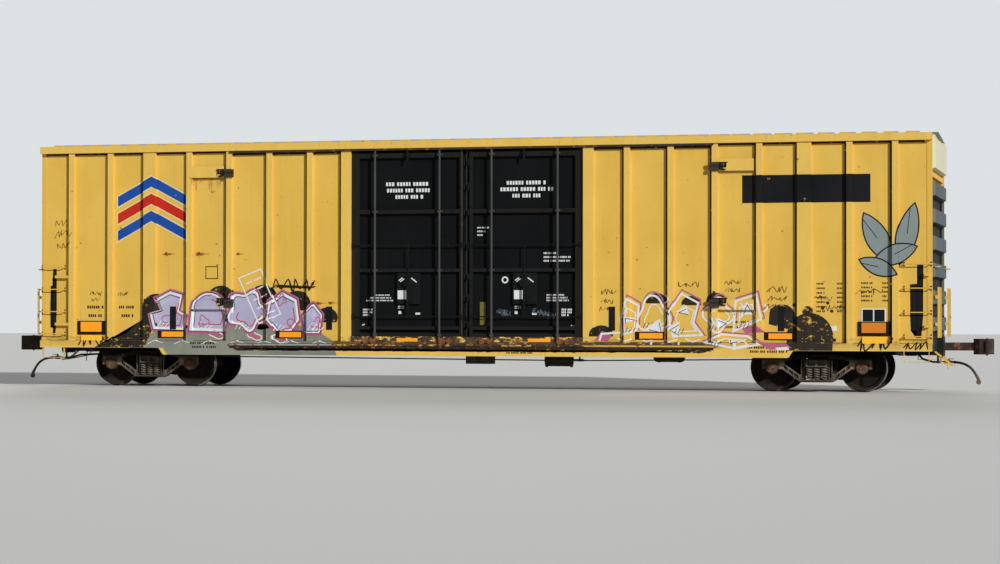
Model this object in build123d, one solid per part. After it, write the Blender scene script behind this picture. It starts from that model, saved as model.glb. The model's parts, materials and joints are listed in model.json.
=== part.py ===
"""Sixty-foot boxcar with two sliding plug doors on each side, on two three-piece trucks.

Frame: X along the car, Y across it, Z up, in millimetres. The floor plane z = 0 lies under
the wheel flanges, and every height below is given above the rail top.
"""

import math
import os

from build123d import *

os.makedirs("parts", exist_ok=True)

# Wheels and running gear
WHEEL_DIAMETER = 914.4
FLANGE_HEIGHT = 25.4
RIM_WIDTH = 145.3
BACK_TO_BACK = 1348.6
AXLE_SPACING = 1778.0
TRUCK_SETBACK = 2291.5
JOURNAL_SPAN = 2006.6
JOURNAL_RADIUS = 78.5
AXLE_RADIUS = 83.0
WHEEL_SEAT_RADIUS = 100.0
BEARING_RADIUS = 126.0
BEARING_LENGTH = 190.0
AXLE_HEIGHT = WHEEL_DIAMETER / 2

# Truck
FRAME_WIDTH = 140.0
BOLSTER_HALF_WIDTH = 205.0
COLUMN_X = 232.0
SPRING_SEAT_HEIGHT = 215.0
BOLSTER_END_BOTTOM = 475.0
BOLSTER_TOP = 640.0
BOWL_RADIUS = 206.0
CENTRE_PLATE_RADIUS = 203.0
CENTRE_PLATE_HEIGHT = 664.7
SIDE_BEARING_Y = 635.0
SIDE_BEARING_HEIGHT = 730.0
SIDE_BEARING_GAP = 6.0
SPRING_PITCH = 148.0
SPRING_RADIUS = 68.0
SHOE_GAP = 12.0
BEAM_GUIDE = 25.0
BEAM_HEIGHT = 387.0
POCKET = 30.0
DIAGONAL_START = (350.0, 190.0)
DIAGONAL_SLOPE = 0.724
DIAGONAL_WIDTH = 130.0
DIAGONAL_EDGE = 31.0
DIAGONAL_POCKETS = ((362, 452), (466, 556), (570, 655))

# Underframe
BODY_LENGTH = 18680.0
FRAME_Y = 1585.0
SHEET_Y = 1505.0
SHEET = 7.0
INSIDE_WIDTH = 2896.0
END_WALL = 81.5
FLOOR_TOP = 1100.0
FLOOR_THICKNESS = 45.0
STRINGER_HEIGHT = 75.0
SILL_INSIDE = 163.5
SILL_WEB = 12.5
SILL_FLANGE_Y = 235.0
SILL_BOTTOM = 700.0
JACK_PAD_Y = 1410.0
JACK_PAD_HEIGHT = 800.0
SIDE_SILL_TOP = 945.0
SIDE_SILL_BOTTOM = 795.0
SIDE_SILL_DROP = 655.0
DROP_SETBACK = 2780.0
SILL_PLATE = 8.0

# Body
CHORD_Y = 1620.0
CHORD_TOP = 5030.0
CHORD_DEPTH = 140.0
ROOF_RISE = 152.0
ROOF_SHEET = 5.0
ROOF_RIB_HEIGHT = 28.0
ROOF_RIB_PITCH = 425.0
ROOF_RIB_WIDTH = 190.0
POST_WIDTH = 120.0
POST_PLATE = 6.0
BOLSTER_POST_WIDTH = 280.0
DOOR_POST_WIDTH = 210.0
DOOR_OPENING = 4877.0
CORNER_FACE = 100.0
CORNER_PLATE = 8.0
END_RIB_DEPTH = 129.5

# Doors
DOOR_GAP = 20.0
DOOR_BOTTOM = 1054.0
DOOR_PAN = 10.0
DOOR_BELT_Y = 1532.0
DOOR_FRAME_Y = 1540.0
DOOR_SILL_TOP = 1048.0
ROD_Y = 1600.0
ROD_RADIUS = 24.0
OVERALL_Y = 1625.5

# Draft gear
COUPLER_DROP = 224.0
COUPLER_REACH = 1060.0
COUPLER_PIN_SETBACK = 240.0
COUPLER_PIN_RADIUS = 45.0
SHANK_WIDTH = 127.0
CARRIER_BACK = 300.0
SHANK_HEIGHT = 160.0
RUN = 0.3

HALF = BODY_LENGTH / 2
COUPLER_HEIGHT = FLOOR_TOP - COUPLER_DROP
CHORD_BOTTOM = CHORD_TOP - CHORD_DEPTH
ROOF_TOP = CHORD_TOP + ROOF_RISE
DOOR_TOP = CHORD_BOTTOM - 6
INSIDE_Y = INSIDE_WIDTH / 2
CORNER_Y = SHEET_Y + CORNER_PLATE
END_SHEET_X = HALF - END_WALL
TRUCK_X = HALF - TRUCK_SETBACK
AXLE_X = (TRUCK_X + AXLE_SPACING / 2, TRUCK_X - AXLE_SPACING / 2)
DROP_HALF_LENGTH = HALF - DROP_SETBACK
PULLING_FACE = HALF + COUPLER_REACH
COUPLER_PIN_X = HALF - COUPLER_PIN_SETBACK
JOURNAL_Y = JOURNAL_SPAN / 2
STRINGER_BOTTOM = FLOOR_TOP - FLOOR_THICKNESS - STRINGER_HEIGHT
FLOOR_BOTTOM = FLOOR_TOP - FLOOR_THICKNESS
POST_COUNT = 7
FIRST_POST = DOOR_OPENING / 2 + 891.5
LAST_POST = HALF - 705.0
POST_X = [FIRST_POST + (LAST_POST - FIRST_POST) * i / (POST_COUNT - 1) for i in range(POST_COUNT)]
STEP_X = (HALF - 540.0, HALF - 60.0)
LADDER_RUNGS = (1080.0, 1549.0, 2018.0, 2487.0)


def level(height):
    """Height above the floor plane of a height above the rail."""
    return height + FLANGE_HEIGHT


def prism_x(outline, x0, x1):
    """Solid with an outline of (y, height) points, from x0 to x1."""
    points = [(y, level(z)) for y, z in outline]
    face = Plane.YZ * make_face(Polyline(*points, close=True))
    return Pos(x0, 0, 0) * extrude(face, amount=x1 - x0, dir=(1, 0, 0))


def prism_y(outline, y0, y1):
    """Solid with an outline of (x, height) points, from y0 to y1."""
    points = [(x, level(z)) for x, z in outline]
    face = Plane.XZ * make_face(Polyline(*points, close=True))
    return Pos(0, y0, 0) * extrude(face, amount=y1 - y0, dir=(0, 1, 0))


def prism_z(outline, z0, z1):
    """Solid with an outline of (x, y) points, between two heights."""
    face = make_face(Polyline(*outline, close=True))
    return Pos(0, 0, level(z0)) * extrude(face, amount=z1 - z0, dir=(0, 0, 1))


def block(x0, x1, y0, y1, z0, z1):
    """Square-edged plate or bar between two corners."""
    return prism_z([(x0, y0), (x1, y0), (x1, y1), (x0, y1)], z0, z1)


def drum_y(x, z, radius, y0, y1):
    """Cylinder across the car."""
    disc = Plane.XZ * Circle(radius)
    return Pos(x, y0, level(z)) * extrude(disc, amount=y1 - y0, dir=(0, 1, 0))


def drum_z(x, y, radius, z0, z1):
    """Upright cylinder."""
    return Pos(x, y, level(z0)) * extrude(Circle(radius), amount=z1 - z0)


def drum_x(y, z, radius, x0, x1):
    """Cylinder along the car."""
    disc = Plane.YZ * Circle(radius)
    return Pos(x0, y, level(z)) * extrude(disc, amount=x1 - x0, dir=(1, 0, 0))


def straight_rod(start, end, radius):
    """Round bar between two points."""
    first, last = (Vector(x, y, level(z)) for x, y, z in (start, end))
    return Plane(origin=first, z_dir=(last - first).normalized()) * extrude(Circle(radius), amount=(last - first).length)


def bent_rod(points, radius, bend):
    """Round bar along straight runs joined by bends."""
    path = FilletPolyline(*[(x, y, level(z)) for x, y, z in points], radius=bend)
    section = Plane(origin=path @ 0, z_dir=path % 0) * Circle(radius)
    return sweep(section, path=path)


def across(shape):
    """A piece and its mirror image on the other side of the car."""
    return [shape, mirror(shape, about=Plane.XZ)]


def both_ends(shape):
    """A piece and its mirror image at the other end of the car."""
    return [shape, mirror(shape, about=Plane.YZ)]


def four_corners(shape):
    """A piece at all four corners of the car."""
    return [copy for end in both_ends(shape) for copy in across(end)]


def turned(shape):
    """A piece turned half round about the car's upright centre line."""
    return Rot(0, 0, 180) * shape


def solids_of(shapes):
    return [solid for shape in shapes for solid in shape.solids()]


def fuse(shapes):
    """One piece out of parts that touch."""
    whole = shapes[0]
    if len(shapes) > 1:
        whole = whole.fuse(*shapes[1:])
    return whole


def emit(node, shapes):
    """Write one node's solids."""
    solids = solids_of(shapes)
    whole = solids[0] if len(solids) == 1 else Compound(children=solids)
    export_step(whole, f"parts/{node}.step")
    print(node, len(solids))


# Centre sill: two webs and a cover plate, open below, with its draft pockets at both ends
def centre_sill():
    web_y = SILL_INSIDE + SILL_WEB
    outline = [
        (-SILL_FLANGE_Y, SILL_BOTTOM), (-SILL_INSIDE, SILL_BOTTOM),
        (-SILL_INSIDE, FLOOR_BOTTOM - 10), (SILL_INSIDE, FLOOR_BOTTOM - 10),
        (SILL_INSIDE, SILL_BOTTOM), (SILL_FLANGE_Y, SILL_BOTTOM),
        (SILL_FLANGE_Y, SILL_BOTTOM + 12), (web_y, SILL_BOTTOM + 12),
        (web_y, FLOOR_BOTTOM), (-web_y, FLOOR_BOTTOM),
        (-web_y, SILL_BOTTOM + 12), (-SILL_FLANGE_Y, SILL_BOTTOM + 12),
    ]
    sill = prism_x(outline, -HALF + SILL_PLATE, HALF - SILL_PLATE)
    strap_bottom = COUPLER_HEIGHT - SHANK_HEIGHT / 2 - RUN - 32
    parts = [sill]
    for side in (-1, 1):
        middle = side * TRUCK_X
        parts.append(block(middle - 250, middle + 250, -SILL_INSIDE, SILL_INSIDE, SILL_BOTTOM, SILL_BOTTOM + 20))
        parts.append(drum_z(middle, 0, CENTRE_PLATE_RADIUS, CENTRE_PLATE_HEIGHT, SILL_BOTTOM + 1))
        carrier_x = side * (COUPLER_PIN_X - CARRIER_BACK)
        parts.append(block(carrier_x - 90, carrier_x + 90, -SILL_FLANGE_Y, SILL_FLANGE_Y, SILL_BOTTOM - 14, SILL_BOTTOM))
        parts.append(block(carrier_x - 80, carrier_x + 80, -120, 120, SILL_BOTTOM - 1, strap_bottom - RUN))
    return fuse(parts)


emit("center_sill", [centre_sill()])


# Yokes with their draft gear, and the pin that each coupler swings on
def yoke():
    half = SHANK_HEIGHT / 2 + RUN
    outer = half + 32
    back = COUPLER_PIN_X - 640
    front = COUPLER_PIN_X + 75
    gear_front = COUPLER_PIN_X - 102
    outline = [
        (back, COUPLER_HEIGHT - outer), (front, COUPLER_HEIGHT - outer),
        (front, COUPLER_HEIGHT - half), (gear_front, COUPLER_HEIGHT - half),
        (gear_front, COUPLER_HEIGHT + half), (front, COUPLER_HEIGHT + half),
        (front, COUPLER_HEIGHT + outer), (back, COUPLER_HEIGHT + outer),
    ]
    strap = prism_y(outline, -115, 115)
    gear = block(back + 40, gear_front - 20, -SILL_INSIDE + RUN, SILL_INSIDE - RUN, COUPLER_HEIGHT - 75, COUPLER_HEIGHT + 75)
    pin = drum_z(COUPLER_PIN_X, 0, COUPLER_PIN_RADIUS, COUPLER_HEIGHT - outer, COUPLER_HEIGHT + outer)
    return fuse([strap, gear, pin])


emit("yokes", both_ends(yoke()))


# End sills with the striker castings that the coupler shanks pass through
def end_sill():
    inner_y = SILL_FLANGE_Y + 2
    web_y = SILL_INSIDE + SILL_WEB
    reach = FRAME_Y - SILL_PLATE
    channel = [
        (HALF - 120, SIDE_SILL_BOTTOM), (HALF, SIDE_SILL_BOTTOM), (HALF, FLOOR_TOP),
        (END_SHEET_X, FLOOR_TOP), (END_SHEET_X, FLOOR_TOP - SILL_PLATE),
        (HALF - SILL_PLATE, FLOOR_TOP - SILL_PLATE), (HALF - SILL_PLATE, SIDE_SILL_BOTTOM + SILL_PLATE),
        (HALF - 120, SIDE_SILL_BOTTOM + SILL_PLATE),
    ]
    sill = prism_y(channel, -INSIDE_Y - SHEET, INSIDE_Y + SHEET)
    sill -= block(HALF - 130, HALF - SILL_PLATE, -web_y, web_y, SIDE_SILL_BOTTOM - 1, FLOOR_BOTTOM)
    opening = block(HALF - 130, HALF + 400, -SILL_INSIDE, SILL_INSIDE, COUPLER_HEIGHT - 92, COUPLER_HEIGHT + 110)
    casting = prism_x([
        (-215, COUPLER_HEIGHT - 215), (215, COUPLER_HEIGHT - 215), (250, COUPLER_HEIGHT - 150),
        (250, COUPLER_HEIGHT + 130), (205, COUPLER_HEIGHT + 200), (-205, COUPLER_HEIGHT + 200),
        (-250, COUPLER_HEIGHT + 130), (-250, COUPLER_HEIGHT - 150),
    ], HALF, HALF + 110)
    return fuse([sill, casting]) - opening


emit("end_sills", both_ends(end_sill()))


# Body bolsters: box beams from the centre sill to the side sills, with side bearing pads
def bolster_height(y):
    """Bottom edge of the bolster, which rises towards the side sill."""
    share = (abs(y) - SILL_FLANGE_Y) / (SHEET_Y - SILL_FLANGE_Y)
    return 745 + max(0.0, share) * 125


def body_bolster():
    web_y = SILL_INSIDE + SILL_WEB
    side_y = FRAME_Y - SILL_PLATE
    low = [(web_y, bolster_height(web_y)), (SILL_FLANGE_Y, bolster_height(0)), (side_y, bolster_height(side_y))]
    section = low + [
        (side_y, SIDE_SILL_TOP - SILL_PLATE), (INSIDE_Y, SIDE_SILL_TOP - SILL_PLATE),
        (INSIDE_Y, STRINGER_BOTTOM), (web_y, STRINGER_BOTTOM),
    ]
    plate = low + [(y, z + 16) for y, z in reversed(low)]
    parts = [prism_x(section, TRUCK_X + x - 6, TRUCK_X + x + 6) for x in (-130, 130)]
    parts.append(prism_x(plate, TRUCK_X - 230, TRUCK_X + 230))
    parts.append(block(TRUCK_X - 230, TRUCK_X + 230, web_y, INSIDE_Y, STRINGER_BOTTOM - 12, STRINGER_BOTTOM))
    pad_bottom = SIDE_BEARING_HEIGHT + SIDE_BEARING_GAP
    parts.append(block(TRUCK_X - 110, TRUCK_X + 110, SIDE_BEARING_Y - 55, SIDE_BEARING_Y + 55, pad_bottom, bolster_height(SIDE_BEARING_Y) + 12))
    parts.append(block(TRUCK_X - 110, TRUCK_X + 110, JACK_PAD_Y - 75, JACK_PAD_Y + 75, JACK_PAD_HEIGHT, bolster_height(JACK_PAD_Y) + 10))
    return fuse(parts)


PIPE_Y = 300.0
PIPE_Z = 870.0
PIPE_RADIUS = 21.0
pipe_hole = drum_x(PIPE_Y, PIPE_Z, PIPE_RADIUS + RUN, -HALF + 400, HALF - 400)
emit("body_bolsters", [piece - pipe_hole for piece in four_corners(body_bolster())])


# Cross bearers: tapered webs with a cover plate that passes under the centre sill
BEARER_COUNT = 5
FIRST_BEARER = 650.0
LAST_BEARER = TRUCK_X - 1648.5
BEARER_X = [FIRST_BEARER + (LAST_BEARER - FIRST_BEARER) * i / (BEARER_COUNT - 1) for i in range(BEARER_COUNT)]
# (place along the car, half width of the cover plate)
BEARERS = [(x, 75.0) for x in BEARER_X] + [(HALF - 720.0, 50.0)]


def cross_bearer(x, half_cover):
    web_y = SILL_INSIDE + SILL_WEB
    side_y = FRAME_Y - SILL_PLATE
    parts = []
    for side in (-1, 1):
        web = [
            (side * SILL_FLANGE_Y, SILL_BOTTOM), (side * side_y, 880), (side * side_y, SIDE_SILL_TOP - SILL_PLATE),
            (side * INSIDE_Y, SIDE_SILL_TOP - SILL_PLATE), (side * INSIDE_Y, STRINGER_BOTTOM),
            (side * web_y, STRINGER_BOTTOM), (side * web_y, SILL_BOTTOM + 12), (side * SILL_FLANGE_Y, SILL_BOTTOM + 12),
        ]
        parts.append(prism_x(web, x - 5, x + 5))
    cover = [
        (-side_y, 880), (-SILL_FLANGE_Y, SILL_BOTTOM), (SILL_FLANGE_Y, SILL_BOTTOM), (side_y, 880),
        (side_y, 870), (SILL_FLANGE_Y, SILL_BOTTOM - 10), (-SILL_FLANGE_Y, SILL_BOTTOM - 10), (-side_y, 870),
    ]
    parts.append(prism_x(cover, x - half_cover, x + half_cover))
    return fuse(parts) - pipe_hole


bearers = []
for x, half_cover in BEARERS:
    bearers += [cross_bearer(x, half_cover), cross_bearer(-x, half_cover)]
emit("cross_bearers", bearers)


# Floor with the stringers that carry it between the cross bearers
STRINGER_Y = (480.0, 820.0, 1150.0)
floor_parts = [block(-END_SHEET_X, END_SHEET_X, -INSIDE_Y, INSIDE_Y, FLOOR_BOTTOM, FLOOR_TOP)]
for y in STRINGER_Y:
    for side in (-1, 1):
        stringer = [
            (side * y - 30, STRINGER_BOTTOM), (side * y + 5, STRINGER_BOTTOM), (side * y + 5, FLOOR_BOTTOM),
            (side * y - 5, FLOOR_BOTTOM), (side * y - 5, STRINGER_BOTTOM + 10), (side * y - 30, STRINGER_BOTTOM + 10),
        ]
        floor_parts.append(prism_x(stringer, -END_SHEET_X + 60, END_SHEET_X - 60))
emit("floor", [fuse(floor_parts)])


# Side sills: a deep channel between the trucks that steps up over them
def side_sill():
    corner = 90.0
    web = make_face(Polyline(
        (-HALF, level(SIDE_SILL_BOTTOM)), (-DROP_HALF_LENGTH - corner, level(SIDE_SILL_BOTTOM)),
        (-DROP_HALF_LENGTH, level(SIDE_SILL_DROP)), (DROP_HALF_LENGTH, level(SIDE_SILL_DROP)),
        (DROP_HALF_LENGTH + corner, level(SIDE_SILL_BOTTOM)), (HALF, level(SIDE_SILL_BOTTOM)),
        (HALF, level(SIDE_SILL_TOP)), (-HALF, level(SIDE_SILL_TOP)), close=True,
    ))
    inner = [v for v in web.vertices() if abs(v.X) < DROP_HALF_LENGTH + corner + 1]
    web = fillet(inner, 55)
    face = Pos(0, -FRAME_Y, 0) * extrude(Plane.XZ * web, amount=SILL_PLATE, dir=(0, 1, 0))
    top = block(-HALF, HALF, -FRAME_Y, -INSIDE_Y - SHEET, SIDE_SILL_TOP - SILL_PLATE, SIDE_SILL_TOP)
    drop_lip = block(-DROP_HALF_LENGTH + 60, DROP_HALF_LENGTH - 60, -FRAME_Y, -FRAME_Y + 90, SIDE_SILL_DROP, SIDE_SILL_DROP + SILL_PLATE)
    parts = [face, top, drop_lip]
    parts += both_ends(block(DROP_HALF_LENGTH + 160, STEP_X[0] - 30, -FRAME_Y, -FRAME_Y + 90, SIDE_SILL_BOTTOM, SIDE_SILL_BOTTOM + SILL_PLATE))
    half_opening = DOOR_OPENING / 2
    sill_y = ROD_Y - ROD_RADIUS - 8
    door_sill = [
        (-sill_y, SIDE_SILL_TOP), (-sill_y, DOOR_SILL_TOP), (-INSIDE_Y, DOOR_SILL_TOP),
        (-INSIDE_Y, DOOR_SILL_TOP - SILL_PLATE), (-sill_y + SILL_PLATE, DOOR_SILL_TOP - SILL_PLATE),
        (-sill_y + SILL_PLATE, SIDE_SILL_TOP),
    ]
    parts.append(prism_x(door_sill, -half_opening, half_opening))
    return fuse(parts)


emit("side_sills", across(side_sill()))


# Side walls: a sheet with hollow posts outside it, from the door post to the corner post
def post(x, width):
    half = width / 2
    outer, inner = -FRAME_Y, -SHEET_Y
    outline = [
        (x - half, inner), (x - half, outer), (x + half, outer), (x + half, inner),
        (x + half - POST_PLATE, inner), (x + half - POST_PLATE, outer + POST_PLATE),
        (x - half + POST_PLATE, outer + POST_PLATE), (x - half + POST_PLATE, inner),
    ]
    return prism_z(outline, SIDE_SILL_TOP, CHORD_BOTTOM)


def side_wall():
    start = DOOR_OPENING / 2
    sheet = block(start, END_SHEET_X, -SHEET_Y, -INSIDE_Y, SIDE_SILL_TOP, CHORD_BOTTOM)
    parts = [sheet, post(start + DOOR_POST_WIDTH / 2, DOOR_POST_WIDTH)]
    for x in POST_X:
        parts.append(post(x, BOLSTER_POST_WIDTH if x == POST_X[4] else POST_WIDTH))
    return fuse(parts)


wall = side_wall()
emit("side_wall_near_right", [wall])
emit("side_wall_near_left", [mirror(wall, about=Plane.YZ)])
emit("side_wall_far_right", [mirror(wall, about=Plane.XZ)])
emit("side_wall_far_left", [turned(wall)])


# Top chords
chord = [
    (-CHORD_Y, CHORD_BOTTOM), (-INSIDE_Y, CHORD_BOTTOM), (-INSIDE_Y, CHORD_TOP),
    (-INSIDE_Y - SILL_PLATE, CHORD_TOP), (-INSIDE_Y - SILL_PLATE, CHORD_BOTTOM + SILL_PLATE),
    (-CHORD_Y + SILL_PLATE, CHORD_BOTTOM + SILL_PLATE), (-CHORD_Y + SILL_PLATE, CHORD_TOP), (-CHORD_Y, CHORD_TOP),
]
emit("top_chords", across(prism_x(chord, -HALF, HALF)))


# Roof: a low gable sheet with pressed ribs across it
RIDGE = ROOF_TOP - ROOF_RIB_HEIGHT - ROOF_SHEET


def gable(rise, half_width, x0, x1):
    """Gable-shaped slab whose underside lies on the chords."""
    return prism_x([
        (-half_width, CHORD_TOP), (0, RIDGE), (half_width, CHORD_TOP), (half_width, CHORD_TOP + rise),
        (0, RIDGE + rise), (-half_width, CHORD_TOP + rise),
    ], x0, x1)


def roof():
    sheet = gable(ROOF_SHEET, CHORD_Y, -HALF, HALF)
    half = ROOF_RIB_WIDTH / 2
    rib = gable(ROOF_SHEET + ROOF_RIB_HEIGHT, CHORD_Y, -half, half)
    # Both flanks slope: what lies outside the rib's trapezoid is cut away
    for side in (-1, 1):
        flank = [
            (side * half, CHORD_TOP + ROOF_SHEET), (side * (half - 60), ROOF_TOP + 1), (side * (half + 9), ROOF_TOP + 1),
            (side * (half + 9), CHORD_TOP + ROOF_SHEET),
        ]
        rib -= prism_y(flank, -CHORD_Y - 1, CHORD_Y + 1)
    count = int((BODY_LENGTH - ROOF_RIB_PITCH) // ROOF_RIB_PITCH) + 1
    first = -(count - 1) / 2 * ROOF_RIB_PITCH
    return fuse([sheet] + [Pos(first + i * ROOF_RIB_PITCH, 0, 0) * rib for i in range(count)])


emit("roof", [roof()])


# End walls: a sheet with deep horizontal ribs between two corner posts
# (middle height, height at the foot, depth)
END_RIBS = (
    (1323.0, 330.0, END_RIB_DEPTH), (1850.0, 330.0, END_RIB_DEPTH), (2377.0, 330.0, END_RIB_DEPTH),
    (2904.0, 330.0, END_RIB_DEPTH), (3431.0, 330.0, END_RIB_DEPTH), (3958.0, 330.0, END_RIB_DEPTH),
    (4245.0, 130.0, END_RIB_DEPTH / 2), (4650.0, 660.0, END_RIB_DEPTH + 6),
)
RIB_TAPER = 17.0
END_RIB_REACH = INSIDE_Y - 23.0


def end_wall():
    outer_x = END_SHEET_X + SHEET
    eave = CHORD_TOP + (RIDGE - CHORD_TOP) * (1 - INSIDE_Y / CHORD_Y)
    sheet = [
        (-INSIDE_Y, FLOOR_TOP), (INSIDE_Y, FLOOR_TOP), (INSIDE_Y, eave), (0, RIDGE),
        (-INSIDE_Y, eave),
    ]
    parts = [prism_x(sheet, END_SHEET_X, outer_x)]
    hollows = []
    for middle, height, depth in END_RIBS:
        foot = Plane.YZ * Rectangle(2 * END_RIB_REACH, height)
        parts.append(Pos(outer_x - 0.5, 0, level(middle)) * extrude(foot, amount=depth - SHEET + 0.5, dir=(1, 0, 0), taper=RIB_TAPER))
        core = Plane.YZ * Rectangle(2 * END_RIB_REACH - 2 * POST_PLATE, height - 2 * POST_PLATE)
        hollows.append(Pos(END_SHEET_X - 1, 0, level(middle)) * extrude(core, amount=depth - POST_PLATE, dir=(1, 0, 0), taper=RIB_TAPER))
    face = [
        (HALF - CORNER_FACE, SHEET_Y), (HALF - CORNER_FACE, CORNER_Y), (HALF, CORNER_Y),
        (HALF, INSIDE_Y + SHEET), (HALF - SHEET, INSIDE_Y + SHEET), (HALF - SHEET, SHEET_Y),
    ]
    inner = [
        (END_SHEET_X, INSIDE_Y - SHEET), (HALF, INSIDE_Y - SHEET), (HALF, INSIDE_Y + SHEET), (END_SHEET_X + SHEET, INSIDE_Y + SHEET),
        (END_SHEET_X + SHEET, INSIDE_Y), (END_SHEET_X, INSIDE_Y),
    ]
    parts += across(prism_z(face, SIDE_SILL_TOP, CHORD_BOTTOM))
    parts += across(prism_z(inner, FLOOR_TOP, CHORD_BOTTOM))
    whole = fuse(parts)
    for hollow in hollows:
        whole -= hollow
    return whole


ends = end_wall()
emit("end_wall_a", [ends])
emit("end_wall_b", [mirror(ends, about=Plane.YZ)])


# Plug doors: a pan flush with the lining, inside a deep frame with cross belts
# (bottom, top) of each belt
BELTS = ((1190.0, 1255.0), (2363.0, 2432.0), (DOOR_TOP - 1330, DOOR_TOP - 1250), (DOOR_TOP - 190, DOOR_TOP - 84))
DOOR_FRAME_WIDTH = 165.0
MEETING_FRAME_WIDTH = 60.0
MEETING_SETBACK = 65.0
DOOR_START = DOOR_GAP / 2
DOOR_END = DOOR_OPENING / 2 - 6


def door():
    face_y = INSIDE_Y + DOOR_PAN
    frame_start = DOOR_START + MEETING_SETBACK
    parts = [
        block(DOOR_START, DOOR_END, -face_y, -INSIDE_Y, DOOR_BOTTOM, DOOR_TOP),
        block(frame_start, frame_start + MEETING_FRAME_WIDTH, -DOOR_FRAME_Y, -face_y, DOOR_BOTTOM, DOOR_TOP),
        block(frame_start, DOOR_END, -DOOR_BELT_Y, -face_y, DOOR_BOTTOM, DOOR_BOTTOM + 60),
    ]
    jamb = [
        (DOOR_END, -face_y), (DOOR_END, -DOOR_FRAME_Y), (DOOR_END - 70, -DOOR_FRAME_Y), (DOOR_END - 70, -DOOR_BELT_Y),
        (DOOR_END - DOOR_FRAME_WIDTH, -DOOR_BELT_Y), (DOOR_END - DOOR_FRAME_WIDTH, -face_y),
    ]
    parts.append(prism_z(jamb, DOOR_BOTTOM, DOOR_TOP))
    for bottom, top in BELTS:
        belt = [(-face_y, bottom - 10), (-face_y, top + 10), (-DOOR_BELT_Y, top), (-DOOR_BELT_Y, bottom)]
        parts.append(prism_x(belt, frame_start + MEETING_FRAME_WIDTH - 1, DOOR_END - DOOR_FRAME_WIDTH + 1))
    return fuse(parts)


leaf = door()
emit("door_near_right", [leaf])
emit("door_near_left", [mirror(leaf, about=Plane.YZ)])
emit("door_far_right", [mirror(leaf, about=Plane.XZ)])
emit("door_far_left", [turned(leaf)])


# Door rods, each with a carriage of two rollers that run on the lower track
# (place along the car, side on which its carriage lies)
RODS = ((547.0, -1), (1917.0, 1))
DOOR_MIDDLE = (DOOR_START + DOOR_END) / 2
TRACK_TOP = 900.0
ROLLER_RADIUS = 53.0
ROLLER_PITCH = 165.0


def door_rod(x, side):
    parts = [drum_z(x, -ROD_Y, ROD_RADIUS, TRACK_TOP + 60, CHORD_BOTTOM - 52)]
    for bottom, top in BELTS[1:]:
        middle = (bottom + top) / 2
        parts.append(block(x - 45, x + 45, -ROD_Y - 8, -DOOR_BELT_Y, middle - 22, middle + 22))
    axle_z = TRACK_TOP + ROLLER_RADIUS + RUN
    for offset_x in (side * 40, side * (40 + ROLLER_PITCH)):
        parts.append(drum_y(x + offset_x, axle_z, ROLLER_RADIUS, -OVERALL_Y + 2, -ROD_Y + 8))
        parts.append(drum_y(x + offset_x, axle_z, 14, -OVERALL_Y + 1, -ROD_Y + 13))
    ends = sorted((x + side * 5, x + side * (75 + ROLLER_PITCH)))
    parts.append(block(ends[0], ends[1], -ROD_Y + 7, -FRAME_Y - 1, axle_z - 20, axle_z + 22))
    parts.append(block(x - 32, x + 32, -ROD_Y - 20, -DOOR_BELT_Y, DOOR_BOTTOM + 5, DOOR_BOTTOM + 50))
    return fuse(parts)


rods = []
for x, side in RODS:
    rods += four_corners(door_rod(x, side))
emit("door_rods", rods)


# Door locks: gear plate with its handle, crank rod, long bar and edge lugs
BAR_Z = 2905.0
LOW_BAR_Z = 1455.0
GEAR_BOTTOM, GEAR_TOP = 1711.0, 2342.0


def door_lock():
    x = DOOR_MIDDLE
    face_y = INSIDE_Y + DOOR_PAN
    plate_y = DOOR_BELT_Y - 12
    gear = block(x - 245, x + 245, -plate_y, -face_y, GEAR_BOTTOM, GEAR_TOP)
    hub = drum_y(x, 2150, 95, -OVERALL_Y + 40, -plate_y + 1)
    handle = block(x - 18, x + 18, -OVERALL_Y + 22, -OVERALL_Y + 41, GEAR_BOTTOM - 60, 2170)
    rod_y = DOOR_FRAME_Y + 13
    crank = drum_z(x, -rod_y, 10, GEAR_TOP - 90, BAR_Z)
    drop = drum_z(x, -rod_y, 10, LOW_BAR_Z, GEAR_BOTTOM + 90)
    keepers = [block(x - 40, x + 40, -rod_y - 20, -plate_y, z - 25, z + 25) for z in (GEAR_TOP - 60, GEAR_BOTTOM + 60)]
    parts = [gear, hub, handle, crank, drop] + keepers
    start = DOOR_START + MEETING_SETBACK
    for z in (BAR_Z, LOW_BAR_Z):
        parts.append(drum_x(-rod_y, z, 13, start + 20, DOOR_END - 20))
        for lug, reach in ((start + 30, 28), (DOOR_END - 35, 32)):
            parts.append(block(lug - reach, lug + reach, -DOOR_FRAME_Y - 14, -DOOR_FRAME_Y, z - 60, z + 60))
    return fuse(parts)


def top_guide():
    pipe = drum_z(DOOR_MIDDLE, -ROD_Y, 18, DOOR_TOP - 259, CHORD_BOTTOM - 52)
    return fuse([pipe, block(DOOR_MIDDLE - 35, DOOR_MIDDLE + 35, -ROD_Y - 8, -DOOR_BELT_Y, DOOR_TOP - 159, DOOR_TOP - 114)])


emit("door_locks", four_corners(door_lock()) + four_corners(top_guide()))


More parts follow.
